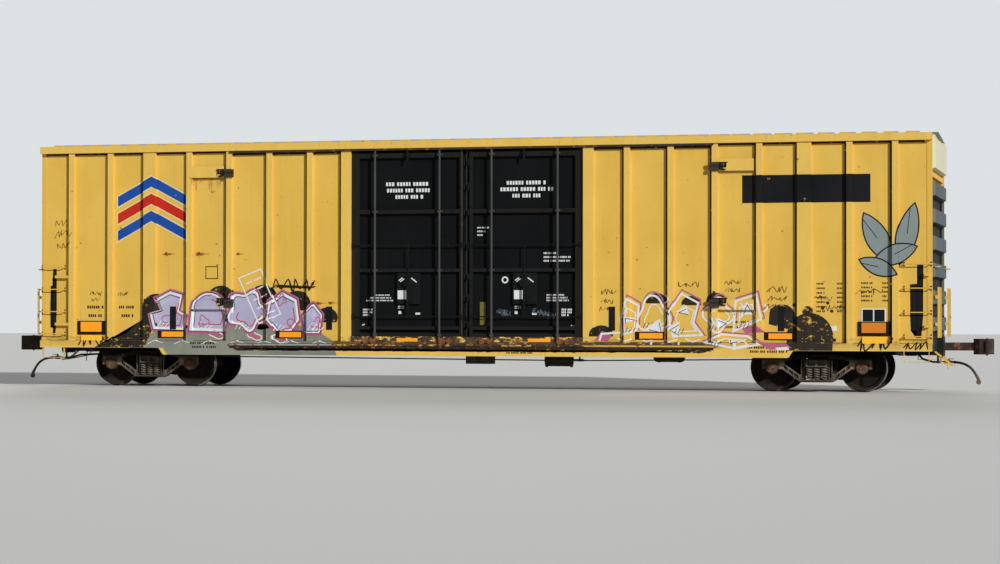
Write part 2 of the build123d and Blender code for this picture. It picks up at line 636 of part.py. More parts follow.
# Door tracks: a channel under the top chords and a flanged rail on the side sills
TRACK_HALF_LENGTH = 5080.0
upper_track = prism_x([
    (-FRAME_Y, CHORD_BOTTOM), (-CHORD_Y + 2, CHORD_BOTTOM), (-CHORD_Y + 2, CHORD_BOTTOM - 45),
    (-CHORD_Y + 10, CHORD_BOTTOM - 45), (-CHORD_Y + 10, CHORD_BOTTOM - 7), (-FRAME_Y, CHORD_BOTTOM - 7),
], -TRACK_HALF_LENGTH, TRACK_HALF_LENGTH)
lower_track = prism_x([
    (-FRAME_Y, 800), (-FRAME_Y, 868), (-ROD_Y - 2, 868), (-ROD_Y - 2, TRACK_TOP), (-OVERALL_Y + 5, TRACK_TOP),
    (-OVERALL_Y + 5, 858), (-FRAME_Y - 10, 858), (-FRAME_Y - 10, 800),
], -TRACK_HALF_LENGTH, TRACK_HALF_LENGTH)
emit("door_tracks", across(upper_track) + across(lower_track))


# Door stops: filler plates between two posts, with a slotted block on the first one
# (bottom, top of plate, bottom, top of block)
HIGH_STOP = CHORD_BOTTOM - 550
STOPS = ((HIGH_STOP, HIGH_STOP + 240, HIGH_STOP, HIGH_STOP + 170), (1600.0, 1800.0, 1640.0, 1810.0))
stops = []
for plate_bottom, plate_top, block_bottom, block_top in STOPS:
    first, last = POST_X[2] + POST_WIDTH / 2, POST_X[3] - POST_WIDTH / 2
    plate = block(first, last, -FRAME_Y, -FRAME_Y + POST_PLATE, plate_bottom, plate_top)
    stop = block(POST_X[2] - 110, first + 30, -OVERALL_Y + 3, -FRAME_Y, block_bottom, block_top)
    slot = block(POST_X[2] - 120, first + 31, -OVERALL_Y + 2, -FRAME_Y - 12, (block_bottom + block_top) / 2 - 22, (block_bottom + block_top) / 2 + 22)
    stops += four_corners(fuse([plate, stop - slot]))
emit("door_stops", stops)


# Ladders at the corners: single bent rungs on the side, and stiles with lugs on the end
LADDER_X = (HALF - 540.0, HALF - 20.0)
RUNG_RADIUS = 11.0
RUNG_Y = OVERALL_Y - 22.0


def side_rung(z):
    points = [(LADDER_X[0], -SHEET_Y, z), (LADDER_X[0], -RUNG_Y, z), (LADDER_X[1], -RUNG_Y, z), (LADDER_X[1], -CORNER_Y, z)]
    return bent_rod(points, RUNG_RADIUS, 26)


rungs = []
for z in LADDER_RUNGS:
    rungs += four_corners(side_rung(z))
emit("side_ladders", rungs)

END_LADDER_Y = (1000.0, 1420.0)
GRAB_HEIGHT = 2440.0
STILE_STAND = 46.0
STILE_LUGS = (END_RIBS[0][0], END_RIBS[1][0])


def end_ladder():
    face_x = END_SHEET_X + END_RIB_DEPTH
    parts = []
    for y in END_LADDER_Y:
        parts.append(block(face_x + STILE_STAND, face_x + 90, -y - 5, -y + 5, LADDER_RUNGS[0] - 20, LADDER_RUNGS[2] + 25))
        for z in STILE_LUGS:
            parts.append(block(face_x, face_x + STILE_STAND + 5, -y - 5, -y + 5, z - 30, z + 30))
    for z in LADDER_RUNGS[:3]:
        parts.append(drum_y(face_x + 70, z, RUNG_RADIUS, -END_LADDER_Y[1], -END_LADDER_Y[0]))
    return fuse(parts)


def end_grab():
    face_x = END_SHEET_X + END_RIB_DEPTH
    points = [(face_x, -END_LADDER_Y[0], GRAB_HEIGHT), (face_x + 75, -END_LADDER_Y[0], GRAB_HEIGHT),
              (face_x + 75, -END_LADDER_Y[1], GRAB_HEIGHT), (face_x, -END_LADDER_Y[1], GRAB_HEIGHT)]
    return bent_rod(points, RUNG_RADIUS, 30)


emit("end_ladders", four_corners(end_ladder()) + four_corners(end_grab()))


# Sill steps: flat bars bent into stirrups under the side sills
STEP_BOTTOM = 584.0


def sill_step():
    x0, x1 = STEP_X
    outer = Polyline((x0, level(SIDE_SILL_BOTTOM + 60)), (x0, level(STEP_BOTTOM)), (x1, level(STEP_BOTTOM)), (x1, level(SIDE_SILL_BOTTOM + 60)))
    strip = offset(outer, amount=6, side=Side.BOTH)
    face = make_face(strip)
    return Pos(0, -FRAME_Y + SILL_PLATE, 0) * extrude(Plane.XZ * face, amount=50, dir=(0, 1, 0))


emit("sill_steps", four_corners(sill_step()))


# Hand brake at the B end: housing, wheel, step and chain rod
HAND_BRAKE_Y = 700.0
HAND_BRAKE_HEIGHT = 2280.0
BRAKE_WHEEL_RADIUS = 265.0
BRAKE_STEP_TOP = 1350.0
BRAKE_STEP_DEPTH = 280.0
BRAKE_STEP_HALF_WIDTH = 290.0
BRAKE_STEP_THICKNESS = 20.0


def hand_brake():
    face_x = -(END_SHEET_X + END_RIB_DEPTH)
    y, z = HAND_BRAKE_Y, HAND_BRAKE_HEIGHT
    housing = block(face_x - 110, face_x, y - 170, y + 170, z - 230, z + 170)
    spindle = drum_x(y, z, 22, face_x - 190, face_x - 109)
    rim = Pos(face_x - 175, y, level(z)) * (Rot(0, 90, 0) * Torus(BRAKE_WHEEL_RADIUS, 11))
    hub = drum_x(y, z, 45, face_x - 195, face_x - 150)
    parts = [housing, spindle, hub, rim]
    for angle in range(0, 360, 60):
        spoke = Rot(angle, 0, 0) * (Plane.XY * extrude(Circle(8), amount=BRAKE_WHEEL_RADIUS - 3))
        parts.append(Pos(face_x - 175, y, level(z)) * spoke)
    rod = drum_z(face_x - 60, y, 12, 760, z - 229)
    return fuse(parts + [rod])


def brake_step():
    face_x = -(END_SHEET_X + END_RIB_DEPTH)
    low, high = BRAKE_STEP_TOP - BRAKE_STEP_THICKNESS, BRAKE_STEP_TOP
    reach = BRAKE_STEP_HALF_WIDTH
    tread = block(face_x - BRAKE_STEP_DEPTH, face_x, HAND_BRAKE_Y - reach, HAND_BRAKE_Y + reach, low, high)
    parts = [tread]
    for y in (HAND_BRAKE_Y - reach + 60, HAND_BRAKE_Y + reach - 60):
        brace = [(face_x, low + 1), (face_x - BRAKE_STEP_DEPTH + 30, low + 1), (face_x, low - 170)]
        parts.append(prism_y(brace, y - 5, y + 5))
    return fuse(parts) - drum_z(face_x - 60, HAND_BRAKE_Y, 20, low - 30, high + 50)


emit("hand_brake", [hand_brake()])
emit("brake_step", [brake_step()])


# Cut levers: bent rods from the corner to the coupler head, on the knuckle's side
def cut_lever():
    points = [
        (HALF + 306, -1480, 459), (HALF + 287, -1475, 640), (HALF + 222, -1450, 702), (HALF + 160, -1410, 690),
        (HALF + 134, -1330, 593), (HALF + 260, -750, 530), (HALF + 360, -300, 500),
    ]
    rod = bent_rod(points, 11, 22)
    outline = [
        (HALF, 835), (HALF + 215, 745), (HALF + 215, 685), (HALF + 180, 685), (HALF + 180, 720), (HALF, 775),
    ]
    bracket = prism_y(outline, -1440, -1428)
    strap = [
        (HALF - 70, SIDE_SILL_BOTTOM), (HALF - 20, SIDE_SILL_BOTTOM), (HALF + 308, 545), (HALF + 320, 500),
        (HALF + 285, 500), (HALF - 20, 750),
    ]
    return fuse([rod, bracket, prism_y(strap, -560, -548)])


lever = cut_lever()
emit("cut_levers", [lever, turned(lever)])


# Couplers: shank, head with its guard arm, knuckle lugs and knuckle pin
KNUCKLE_PIN = (PULLING_FACE - 105, -140.0)
KNUCKLE_PIN_RADIUS = 21.0
KNUCKLE_HEIGHT = 236.0
HEAD_HEIGHT = 310.0


def coupler():
    shank = block(COUPLER_PIN_X, PULLING_FACE - 330, -SHANK_WIDTH / 2, SHANK_WIDTH / 2,
                  COUPLER_HEIGHT - SHANK_HEIGHT / 2, COUPLER_HEIGHT + SHANK_HEIGHT / 2)
    butt = drum_z(COUPLER_PIN_X, 0, 96, COUPLER_HEIGHT - SHANK_HEIGHT / 2, COUPLER_HEIGHT + SHANK_HEIGHT / 2)
    hole = drum_z(COUPLER_PIN_X, 0, COUPLER_PIN_RADIUS + RUN, COUPLER_HEIGHT - 200, COUPLER_HEIGHT + 200)
    low, high = COUPLER_HEIGHT - HEAD_HEIGHT / 2, COUPLER_HEIGHT + HEAD_HEIGHT / 2
    face = PULLING_FACE
    head = prism_z([
        (face - 370, -75), (face - 330, -130), (face - 250, -190), (face - 175, -205), (face - 175, 60),
        (face - 60, 120), (face - 10, 175), (face + 15, 225), (face - 40, 235), (face - 140, 195),
        (face - 260, 140), (face - 370, 75),
    ], low, high)
    lug_outline = [(face - 180, -60), (face - 180, -205), (face - 100, -205), (face - 55, -175), (face - 55, -110), (face - 95, -70)]
    lugs = [
        prism_z(lug_outline, low, COUPLER_HEIGHT - KNUCKLE_HEIGHT / 2 - RUN),
        prism_z(lug_outline, COUPLER_HEIGHT + KNUCKLE_HEIGHT / 2 + RUN, high),
    ]
    pin = drum_z(KNUCKLE_PIN[0], KNUCKLE_PIN[1], KNUCKLE_PIN_RADIUS, low - 20, high + 12)
    return fuse([shank, butt, head] + lugs + [pin]) - hole


def knuckle():
    face = PULLING_FACE
    x, y = KNUCKLE_PIN
    outline = [
        (x - 50, y - 20), (x - 20, y - 55), (x + 30, y - 58), (face - 28, y - 25), (face - 5, y + 40),
        (face, -40), (face - 4, 20), (face - 25, 52), (face - 60, 55), (face - 82, 30), (face - 80, -20),
        (face - 98, -62), (x - 45, y + 48),
    ]
    low, high = COUPLER_HEIGHT - KNUCKLE_HEIGHT / 2, COUPLER_HEIGHT + KNUCKLE_HEIGHT / 2
    body = prism_z(outline, low, high)
    hole = drum_z(x, y, KNUCKLE_PIN_RADIUS + RUN, low - 10, high + 10)
    return body - hole


coupler_a, knuckle_a = coupler(), knuckle()
emit("coupler_a", [coupler_a])
emit("coupler_b", [turned(coupler_a)])
emit("knuckle_a", [knuckle_a])
emit("knuckle_b", [turned(knuckle_a)])


# Air brake gear under the body, hung from the stringers
RESERVOIR = (BEARER_X[3] - 410.0, 500.0, 700.0, 180.0, 640.0)
CYLINDER = (BEARER_X[0] + 540.0, BEARER_X[0] + 1100.0, 480.0, 550.0, 150.0)
VALVE = (-270.0, 300.0, -560.0, -330.0)


def hanger(x, y, bottom):
    return block(x - 25, x + 25, y - 12, y + 12, bottom, STRINGER_BOTTOM)


def reservoir():
    x, y, z, radius, length = RESERVOIR
    tank = Pos(x, y, level(z)) * (Rot(0, 90, 0) * Cylinder(radius, length))
    tank = fillet(tank.edges().filter_by(GeomType.CIRCLE), 70)
    straps = [hanger(x + side * 210, STRINGER_Y[0], z + radius - 30) for side in (-1, 1)]
    bands = [drum_x(y, z, radius + 6, x + side * 210 - 25, x + side * 210 + 25) for side in (-1, 1)]
    return fuse([tank] + straps + bands)


def brake_cylinder():
    x0, x1, y, z, radius = CYLINDER
    body = [
        drum_x(y, z, radius - 20, x0, x1), drum_x(y, z, radius, x0, x0 + 30), drum_x(y, z, radius, x1 - 30, x1),
        drum_x(y, z, 25, x1, x1 + 240),
    ]
    return fuse(body + [hanger(x, STRINGER_Y[0], z + radius - 50) for x in (x0 + 90, x0 + 380)])


def control_valve():
    x0, x1, y0, y1 = VALVE
    body = block(x0, x1, y0, y1, 480, 700)
    covers = [drum_y(x, 580, 100, y0 - 60, y0 + 1) for x in (x0 + 140, x1 - 140)]
    return fuse([body] + covers + [hanger(x, -STRINGER_Y[0], 699) for x in (x0 + 60, x1 - 60)])


emit("air_reservoir", [reservoir()])
emit("brake_cylinder", [brake_cylinder()])
emit("control_valve", [control_valve()])


# Brake pipe along the centre sill, which drops at both ends and crosses over at the B end
HOSE_Y = 330.0
NIPPLE = (HALF + 270, HOSE_Y, 560.0)
HOSE_DROPS = ((150, -12), (290, -70), (400, -170), (470, -300))
HOSE_RADIUS = 25.0
HOSE_POINTS = (NIPPLE,) + tuple(
    (NIPPLE[0] + dx, NIPPLE[1] - 0.05 * dx, NIPPLE[2] + dz) for dx, dz in HOSE_DROPS
)


def brake_pipe():
    end_x, end_y, end_z = NIPPLE
    points = [
        (end_x - 60, end_y, end_z), (HALF - 140, end_y, end_z), (HALF - 340, PIPE_Y, end_z + 60),
        (HALF - 580, PIPE_Y, PIPE_Z), (-HALF + 660, PIPE_Y, PIPE_Z), (-HALF + 560, PIPE_Y, end_z + 70),
        (-HALF + 340, -PIPE_Y + 60, end_z + 60), (-HALF + 140, -end_y, end_z), (-end_x + 60, -end_y, end_z),
    ]
    return bent_rod(points, PIPE_RADIUS, 45)


def angle_cock():
    x, y, z = NIPPLE
    body = drum_x(y, z, 36, x - 150, x - 50) + drum_z(x - 100, y, 20, z, z + 66)
    body += block(x - 112, x + 10, y - 12, y + 12, z + 58, z + 70)
    first, second = (Vector(px, py, level(pz)) for px, py, pz in HOSE_POINTS[:2])
    heading = (second - first).normalized()
    nipple = Plane(origin=first - heading * 62, z_dir=heading) * extrude(Circle(PIPE_RADIUS), amount=62)
    strap = block(HALF - 60, HALF - 20, y - 8, y + 8, z - 30, SIDE_SILL_BOTTOM)
    return fuse([body, nipple, strap])


cock = angle_cock()
emit("brake_pipe", [fuse([brake_pipe(), cock, turned(cock)])])


# Air hoses hang free from the angle cocks, each with its coupling at the end
def arc_radii(points):
    """Largest even bend at each corner of a hose route."""
    radii = []
    for before, corner, after in zip(points, points[1:], points[2:]):
        first, second = Vector(*corner) - Vector(*before), Vector(*after) - Vector(*corner)
        turn = math.radians(first.get_angle(second))
        radii.append(0.45 * min(first.length, second.length) / math.tan(turn / 2))
    return radii


def air_hose():
    points = [(x, y, level(z)) for x, y, z in HOSE_POINTS]
    radii = arc_radii(points)
    path = FilletPolyline(*points, radius=radii)
    section = Plane(origin=path @ 0, z_dir=path % 0) * Circle(HOSE_RADIUS)
    hose = sweep(section, path=path)
    expected = math.pi * HOSE_RADIUS ** 2 * path.length
    print("air hose length", round(path.length), "radii", [round(r) for r in radii], "volume share", round(hose.volume / expected, 4))
    return hose, path


hose, hose_path = air_hose()
emit("air_hose_a", [hose])
emit("air_hose_b", [turned(hose)])


def gladhand():
    tip, heading = hose_path @ 1, hose_path % 1
    along = Plane(origin=tip, z_dir=heading)
    collar = along * extrude(Circle(33), amount=70)
    cup = Pos(tip.X + 25, tip.Y, tip.Z - 95) * (Rot(90, 0, 0) * Cylinder(52, 46))
    return fuse([collar, cup])


grip = gladhand()
emit("gladhands", [grip, turned(grip)])


# Brake rigging: a lever at the cylinder's push rod and the rods to both trucks
def rigging():
    x = CYLINDER[1] + 240
    y, z = CYLINDER[2], CYLINDER[3]
    lever = block(x, x + 60, -100, y + 60, z - 8, z + 8)
    pivot = block(x + 15, x + 45, -15, 15, z - 20, SILL_BOTTOM)
    end_x, end_z = AXLE_X[1] + 130, AXLE_HEIGHT + AXLE_RADIUS + 60
    rods = [straight_rod((x + 30, 20, z), (end_x, 20, end_z), 13), straight_rod((x + 30, -70, z), (-end_x, -70, end_z), 13)]
    return fuse([lever, pivot] + rods)


emit("brake_rigging", [rigging()])


# Trucks
def side_frame():
    half = [
        (0, 715), (300, 715), (560, 675), (760, 642), (1040, 642), (1085, 605), (1085, 430), (1024, 430),
        (1024, 598), (754, 598), (754, 430), (690, 430), (640, 400), (350, 190), (290, 168), (0, 168),
    ]
    outline = half + [(-x, z) for x, z in reversed(half[1:-1])]
    inner_y, outer_y = JOURNAL_Y - FRAME_WIDTH / 2, JOURNAL_Y + FRAME_WIDTH / 2
    nest = [(-COLUMN_X, SPRING_SEAT_HEIGHT), (COLUMN_X, SPRING_SEAT_HEIGHT), (COLUMN_X, BOLSTER_TOP + 2), (-COLUMN_X, BOLSTER_TOP + 2)]
    window_low = DIAGONAL_START[1] + DIAGONAL_WIDTH
    window = [(310, 640), (540, 612), (640, 587), (640, window_low + 290 * DIAGONAL_SLOPE), (350, window_low), (310, window_low)]
    frame = prism_y(outline, inner_y, outer_y) - prism_y(nest, inner_y - 1, outer_y + 1)
    for side in (-1, 1):
        frame -= prism_y([(side * x, z) for x, z in window], inner_y - 1, outer_y + 1)
    # Recesses between the raised edges, in the outer face
    top_web = [(-560, 658), (-300, 688), (300, 688), (560, 658), (560, 640), (300, 668), (-300, 668), (-560, 640)]
    frame -= prism_y(top_web, outer_y - POCKET, outer_y + 1)
    frame -= prism_y([(-275, 185), (275, 185), (245, 200), (-245, 200)], outer_y - POCKET, outer_y + 1)
    for side in (-1, 1):
        for x0, x1 in DIAGONAL_POCKETS:
            low = [(x, DIAGONAL_START[1] + (x - DIAGONAL_START[0]) * DIAGONAL_SLOPE + DIAGONAL_EDGE) for x in (x0, x1)]
            high = [(x, z + DIAGONAL_WIDTH - 2 * DIAGONAL_EDGE) for x, z in reversed(low)]
            frame -= prism_y([(side * x, z) for x, z in low + high], outer_y - POCKET, outer_y + 1)
        frame -= prism_y([(side * x, z) for x, z in ((252, 262), (290, 262), (290, 640), (252, 640))], outer_y - POCKET, outer_y + 1)
    seat = block(-COLUMN_X - 40, COLUMN_X + 40, JOURNAL_Y - 150, JOURNAL_Y + 150, SPRING_SEAT_HEIGHT - 30, SPRING_SEAT_HEIGHT)
    guides = [
        block(side * 316 - 84, side * 316 + 84, inner_y - BEAM_GUIDE, inner_y + 15, BEAM_HEIGHT - 45, BEAM_HEIGHT + 45)
        for side in (-1, 1)
    ]
    return fuse([frame, seat] + guides)


def truck_bolster():
    half = [(0, 330), (450, 330), (800, BOLSTER_END_BOTTOM), (JOURNAL_Y + 150, BOLSTER_END_BOTTOM), (JOURNAL_Y + 150, BOLSTER_TOP - 20), (800, BOLSTER_TOP), (0, BOLSTER_TOP)]
    outline = half + [(-y, z) for y, z in reversed(half[1:-1])]
    beam = prism_x(outline, -BOLSTER_HALF_WIDTH, BOLSTER_HALF_WIDTH)
    bowl = drum_z(0, 0, BOWL_RADIUS + 28, BOLSTER_TOP - 1, SILL_BOTTOM - 5) - drum_z(0, 0, BOWL_RADIUS, CENTRE_PLATE_HEIGHT - RUN, SILL_BOTTOM)
    parts = [beam, bowl]
    for side in (-1, 1):
        y = side * SIDE_BEARING_Y
        parts.append(block(-105, 105, y - 45, y + 45, BOLSTER_TOP - 1, SIDE_BEARING_HEIGHT))
    # Two open cells in each end
    cells = [
        prism_y([(x, BOLSTER_END_BOTTOM + 22), (x + 165, BOLSTER_END_BOTTOM + 22), (x + 165, BOLSTER_TOP - 42), (x, BOLSTER_TOP - 42)], y, y + 80)
        for x in (-181, 16)
        for y in (JOURNAL_Y + 75, -JOURNAL_Y - 155)
    ]
    return fuse(parts) - cells


def spring(x, y):
    turns = 6
    height = BOLSTER_END_BOTTOM - SPRING_SEAT_HEIGHT
    pitch = height / turns
    points = [(0, 0), (SPRING_RADIUS - 12, 0)]
    for i in range(turns):
        points += [(SPRING_RADIUS, i * pitch + pitch * 0.25), (SPRING_RADIUS, i * pitch + pitch * 0.75), (SPRING_RADIUS - 12, (i + 1) * pitch)]
    points.append((0, height))
    face = Plane.XZ * make_face(Polyline(*points, close=True))
    return Pos(x, y, level(SPRING_SEAT_HEIGHT)) * revolve(face, axis=Axis.Z)


def bearings():
    parts = []
    for x in (-AXLE_SPACING / 2, AXLE_SPACING / 2):
        start, stop = JOURNAL_Y - BEARING_LENGTH / 2, JOURNAL_Y + BEARING_LENGTH / 2
        cup = drum_y(x, AXLE_HEIGHT, BEARING_RADIUS, start, stop)
        adapter = block(x - 128, x + 128, JOURNAL_Y - 90, JOURNAL_Y + 90, AXLE_HEIGHT + 60, 598)
        bore = drum_y(x, AXLE_HEIGHT, JOURNAL_RADIUS + RUN, start - 1, stop + 1)
        parts.append(fuse([cup, adapter]) - bore)
    return parts


def brake_beam():
    """Beam inside the axle at +x, with its two shoes."""
    axle_x = AXLE_SPACING / 2
    inner, outer = WHEEL_DIAMETER / 2 + SHOE_GAP, WHEEL_DIAMETER / 2 + SHOE_GAP + 42
    parts = []
    for side in (-1, 1):
        y = side * 768
        ring = drum_y(axle_x, AXLE_HEIGHT, outer, y - 42, y + 42) - drum_y(axle_x, AXLE_HEIGHT, inner, y - 43, y + 43)
        wedge = prism_y([(axle_x, AXLE_HEIGHT), (axle_x - 700, AXLE_HEIGHT + 150), (axle_x - 700, AXLE_HEIGHT - 330)], y - 60, y + 60)
        parts.append(ring & wedge)
    x = axle_x - outer - 25
    z = BEAM_HEIGHT
    reach = JOURNAL_Y - FRAME_WIDTH / 2 - BEAM_GUIDE
    parts.append(block(x - 30, x + 35, -reach, reach, z - 30, z + 30))
    return fuse(parts)


def axle():
    half = [
        (0, AXLE_RADIUS), (560, AXLE_RADIUS), (640, WHEEL_SEAT_RADIUS), (835, WHEEL_SEAT_RADIUS), (845, 88), (900, 86),
        (902, JOURNAL_RADIUS), (JOURNAL_Y + BEARING_LENGTH / 2 + 1, JOURNAL_RADIUS), (JOURNAL_Y + BEARING_LENGTH / 2 + 1, 104),
        (JOURNAL_Y + BEARING_LENGTH / 2 + 32, 100), (JOURNAL_Y + BEARING_LENGTH / 2 + 34, 0),
    ]
    outline = [(-y, r) for y, r in reversed(half)] + half[1:]
    face = make_face(Polyline(*[(r, y) for y, r in outline], close=True))
    return revolve(face, axis=Axis.Y)


def wheel():
    radius, inner = WHEEL_DIAMETER / 2, BACK_TO_BACK / 2
    outer = inner + RIM_WIDTH
    # (distance from the car's centre line, radius)
    profile = [
        (inner, 400), (inner, radius + 12), (inner + 10, radius + FLANGE_HEIGHT), (inner + 20, radius + FLANGE_HEIGHT),
        (inner + 32, radius + 13), (inner + 42, radius + 1.5), (inner + 50, radius), (inner + 68, radius),
        (outer - 4, radius - 3.6), (outer, radius - 8), (outer, 398), (outer - 30, 388), (outer - 55, 365),
        (outer - 62, 220), (outer - 45, 160), (outer + 2, 150), (outer + 2, WHEEL_SEAT_RADIUS + 0.05),
        (inner - 22, WHEEL_SEAT_RADIUS + 0.05), (inner - 22, 150), (inner + 46, 165), (inner + 58, 220),
        (inner + 64, 360), (inner + 31, 390),
    ]
    face = make_face(Polyline(*[(r, y) for y, r in profile], close=True))
    return revolve(face, axis=Axis.Y)


frame_piece = side_frame()
bolster_piece = truck_bolster()
spring_piece = spring(0, 0)
bearing_pieces = bearings()
beam_piece = brake_beam()
for name, side in (("a", 1), ("b", -1)):
    place = Pos(side * TRUCK_X, 0, 0)
    emit(f"truck_{name}_side_frames", [place * piece for piece in across(frame_piece)])
    emit(f"truck_{name}_bolster", [place * bolster_piece])
    coils = []
    for x in (-SPRING_PITCH, 0, SPRING_PITCH):
        for y in (-SPRING_PITCH / 2, SPRING_PITCH / 2):
            for wing in (-1, 1):
                coils.append(place * Pos(x, wing * JOURNAL_Y + y, 0) * spring_piece)
    emit(f"truck_{name}_springs", coils)
    emit(f"truck_{name}_bearings", [place * copy for piece in bearing_pieces for copy in across(piece)])
    emit(f"truck_{name}_brakes", [place * beam_piece, place * turned(beam_piece)])

axle_piece = axle()
wheel_piece = wheel()
places = (AXLE_X[0], AXLE_X[1], -AXLE_X[1], -AXLE_X[0])
for number, x in enumerate(places, start=1):
    place = Pos(x, 0, level(AXLE_HEIGHT))
    emit(f"axle_{number}", [place * axle_piece])
    emit(f"wheels_{number}", [place * piece for piece in across(wheel_piece)])
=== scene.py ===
"""Looks of a sixty-foot boxcar with two plug doors on each side.

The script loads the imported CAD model, gives every node its finish, and adds the pieces that the
solids leave out: fasteners, coil springs, air hoses, door fittings, painted marks and plates.
All sizes are in metres, in the row frame. X runs along the car, and the photographed side faces -Y.
"""

import json
import logging
import math
import random
from dataclasses import dataclass, field
from enum import Enum
from typing import Sequence

import bmesh
import bpy
from mathutils import Matrix, Vector

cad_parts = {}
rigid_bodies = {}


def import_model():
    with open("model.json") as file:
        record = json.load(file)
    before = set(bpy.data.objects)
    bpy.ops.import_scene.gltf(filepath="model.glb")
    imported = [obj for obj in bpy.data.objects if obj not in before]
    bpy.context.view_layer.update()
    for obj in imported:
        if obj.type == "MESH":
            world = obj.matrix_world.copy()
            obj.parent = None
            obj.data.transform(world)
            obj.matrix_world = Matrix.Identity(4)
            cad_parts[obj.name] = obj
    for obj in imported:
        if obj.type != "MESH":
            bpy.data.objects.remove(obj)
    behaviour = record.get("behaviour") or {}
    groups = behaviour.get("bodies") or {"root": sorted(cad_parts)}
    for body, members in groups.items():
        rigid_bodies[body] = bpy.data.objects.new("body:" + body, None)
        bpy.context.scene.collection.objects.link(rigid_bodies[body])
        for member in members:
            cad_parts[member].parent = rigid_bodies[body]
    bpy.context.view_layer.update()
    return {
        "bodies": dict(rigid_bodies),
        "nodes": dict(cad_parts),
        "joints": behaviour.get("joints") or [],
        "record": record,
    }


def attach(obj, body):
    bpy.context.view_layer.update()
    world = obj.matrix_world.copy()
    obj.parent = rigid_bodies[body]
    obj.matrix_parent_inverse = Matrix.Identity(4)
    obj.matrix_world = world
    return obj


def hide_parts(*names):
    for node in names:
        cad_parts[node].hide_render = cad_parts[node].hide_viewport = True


LOG = logging.getLogger("boxcar")

# Height of the rail's top above the floor, because the wheels stand on their flanges.
RAIL = 0.0254
# Half the length over the corners, and distances of the side's faces from the centre line.
HALF = 9.34
SHEET_Y = 1.505
POST_Y = 1.585
CORNER_Y = 1.513
DOOR_PAN_Y = 1.458
GEAR_PLATE_Y = 1.52
BELT_Y = 1.532
DOOR_EDGE_Y = 1.54
# Heights between which the posts run, the posts' middles and the edges of the door posts.
SILL_TOP = 0.945 + RAIL
CHORD_BOTTOM = 4.89 + RAIL
POSTS = tuple(3.33 + (8.635 - 3.33) * i / 6 for i in range(7))
DOOR_POST = (2.4385, 2.6485)
# Truck centres, half the distance between the axles of a truck, and the axles' height.
TRUCK_X = 7.0485
AXLE_REACH = 0.889
AXLE_Z = 0.4826
AXLES = (TRUCK_X + AXLE_REACH, TRUCK_X - AXLE_REACH, AXLE_REACH - TRUCK_X, -TRUCK_X - AXLE_REACH)
# Width of the camera's sensor in millimetres and of the photograph in pixels.
SENSOR = 36.0
PHOTO_WIDTH = 1000
# Colours that several finishes put over their own.
BODY_COAT = (0.66, 0.412, 0.06)
TRIM_COAT = (0.66, 0.415, 0.072)

Point = tuple[float, float]
Point3 = tuple[float, float, float]
Points, Points3 = Sequence[Point], Sequence[Point3]
BMesh = bmesh.types.BMesh
Material, Mesh, Object = bpy.types.Material, bpy.types.Mesh, bpy.types.Object
Node, Socket, Tree = bpy.types.Node, bpy.types.NodeSocket, bpy.types.NodeTree


# ---- node trees


class Graph:
    """Builds one node tree out of short calls."""

    def __init__(self, tree: Tree) -> None:
        """Keep the tree.

        Args:
            tree: The shader or geometry tree to fill.
        """
        self.tree = tree

    def node(self, kind: str, inputs: dict | None = None, **settings) -> Node:
        """Add a node.

        Args:
            kind: The node's type name.
            inputs: Values or sockets by input name or number.
            settings: Plain properties of the node.

        Returns:
            The new node.
        """
        made = self.tree.nodes.new(kind)
        for name, value in settings.items():
            setattr(made, name, value)
        for key, value in (inputs or {}).items():
            self.put(made.inputs[key], value)
        return made

    def put(self, socket: Socket, value: object) -> None:
        """Link a socket, or set its value.

        Args:
            socket: The input that is fed.
            value: Another socket, or a number or colour.
        """
        if isinstance(value, Socket):
            self.tree.links.new(value, socket)
        elif isinstance(value, tuple) and len(value) == 3 and socket.type == "RGBA":
            socket.default_value = (*value, 1.0)
        else:
            socket.default_value = value

    def math(self, operation: str, first: object, second: object = 0.0, clamp: bool = False) -> Socket:
        """Result of one Math node."""
        return self.node("ShaderNodeMath", {0: first, 1: second}, operation=operation, use_clamp=clamp).outputs[0]

    def times(self, first: object, second: object) -> Socket:
        """Product of two values."""
        return self.math("MULTIPLY", first, second)

    def plus(self, first: object, second: object, clamp: bool = False) -> Socket:
        """Sum of two values."""
        return self.math("ADD", first, second, clamp)

    def span(self, value: object, low: float, high: float, to_low: float = 0.0, to_high: float = 1.0) -> Socket:
        """Map the range from low to high onto another, clamped and smoothed."""
        inputs = {"Value": value, "From Min": low, "From Max": high, "To Min": to_low, "To Max": to_high}
        return self.node("ShaderNodeMapRange", inputs, interpolation_type="SMOOTHSTEP").outputs[0]

    def noise(
        self, vector: object, scale: float, detail: float = 3.0, roughness: float = 0.55, distortion: float = 0.0,
    ) -> Socket:
        """Value of a noise texture that is read at a vector."""
        inputs = {"Vector": vector, "Scale": scale, "Detail": detail, "Roughness": roughness, "Distortion": distortion}
        return self.node("ShaderNodeTexNoise", inputs).outputs[0]

    def scaled(self, vector: object, scale: Point3, place: Point3 = (0.0, 0.0, 0.0)) -> Socket:
        """A vector that is scaled and then moved along its axes."""
        return self.node("ShaderNodeMapping", {"Vector": vector, "Scale": scale, "Location": place}).outputs[0]

    def mix(self, factor: object, first: object, second: object) -> Socket:
        """Mix two colours.

        Args:
            factor: Share of the second colour.
            first: First colour.
            second: Second colour.

        Returns:
            The colour socket.
        """
        made = self.node("ShaderNodeMix", {0: factor}, data_type="RGBA", clamp_factor=True)
        self.put(made.inputs[6], first)
        self.put(made.inputs[7], second)
        return made.outputs[2]

    def band(self, value: object, low: float, high: float, soft: float) -> Socket:
        """Mask that is 1 between two values, with soft edges outside them."""
        return self.times(self.span(value, low - soft, low), self.span(value, high, high + soft, 1.0, 0.0))


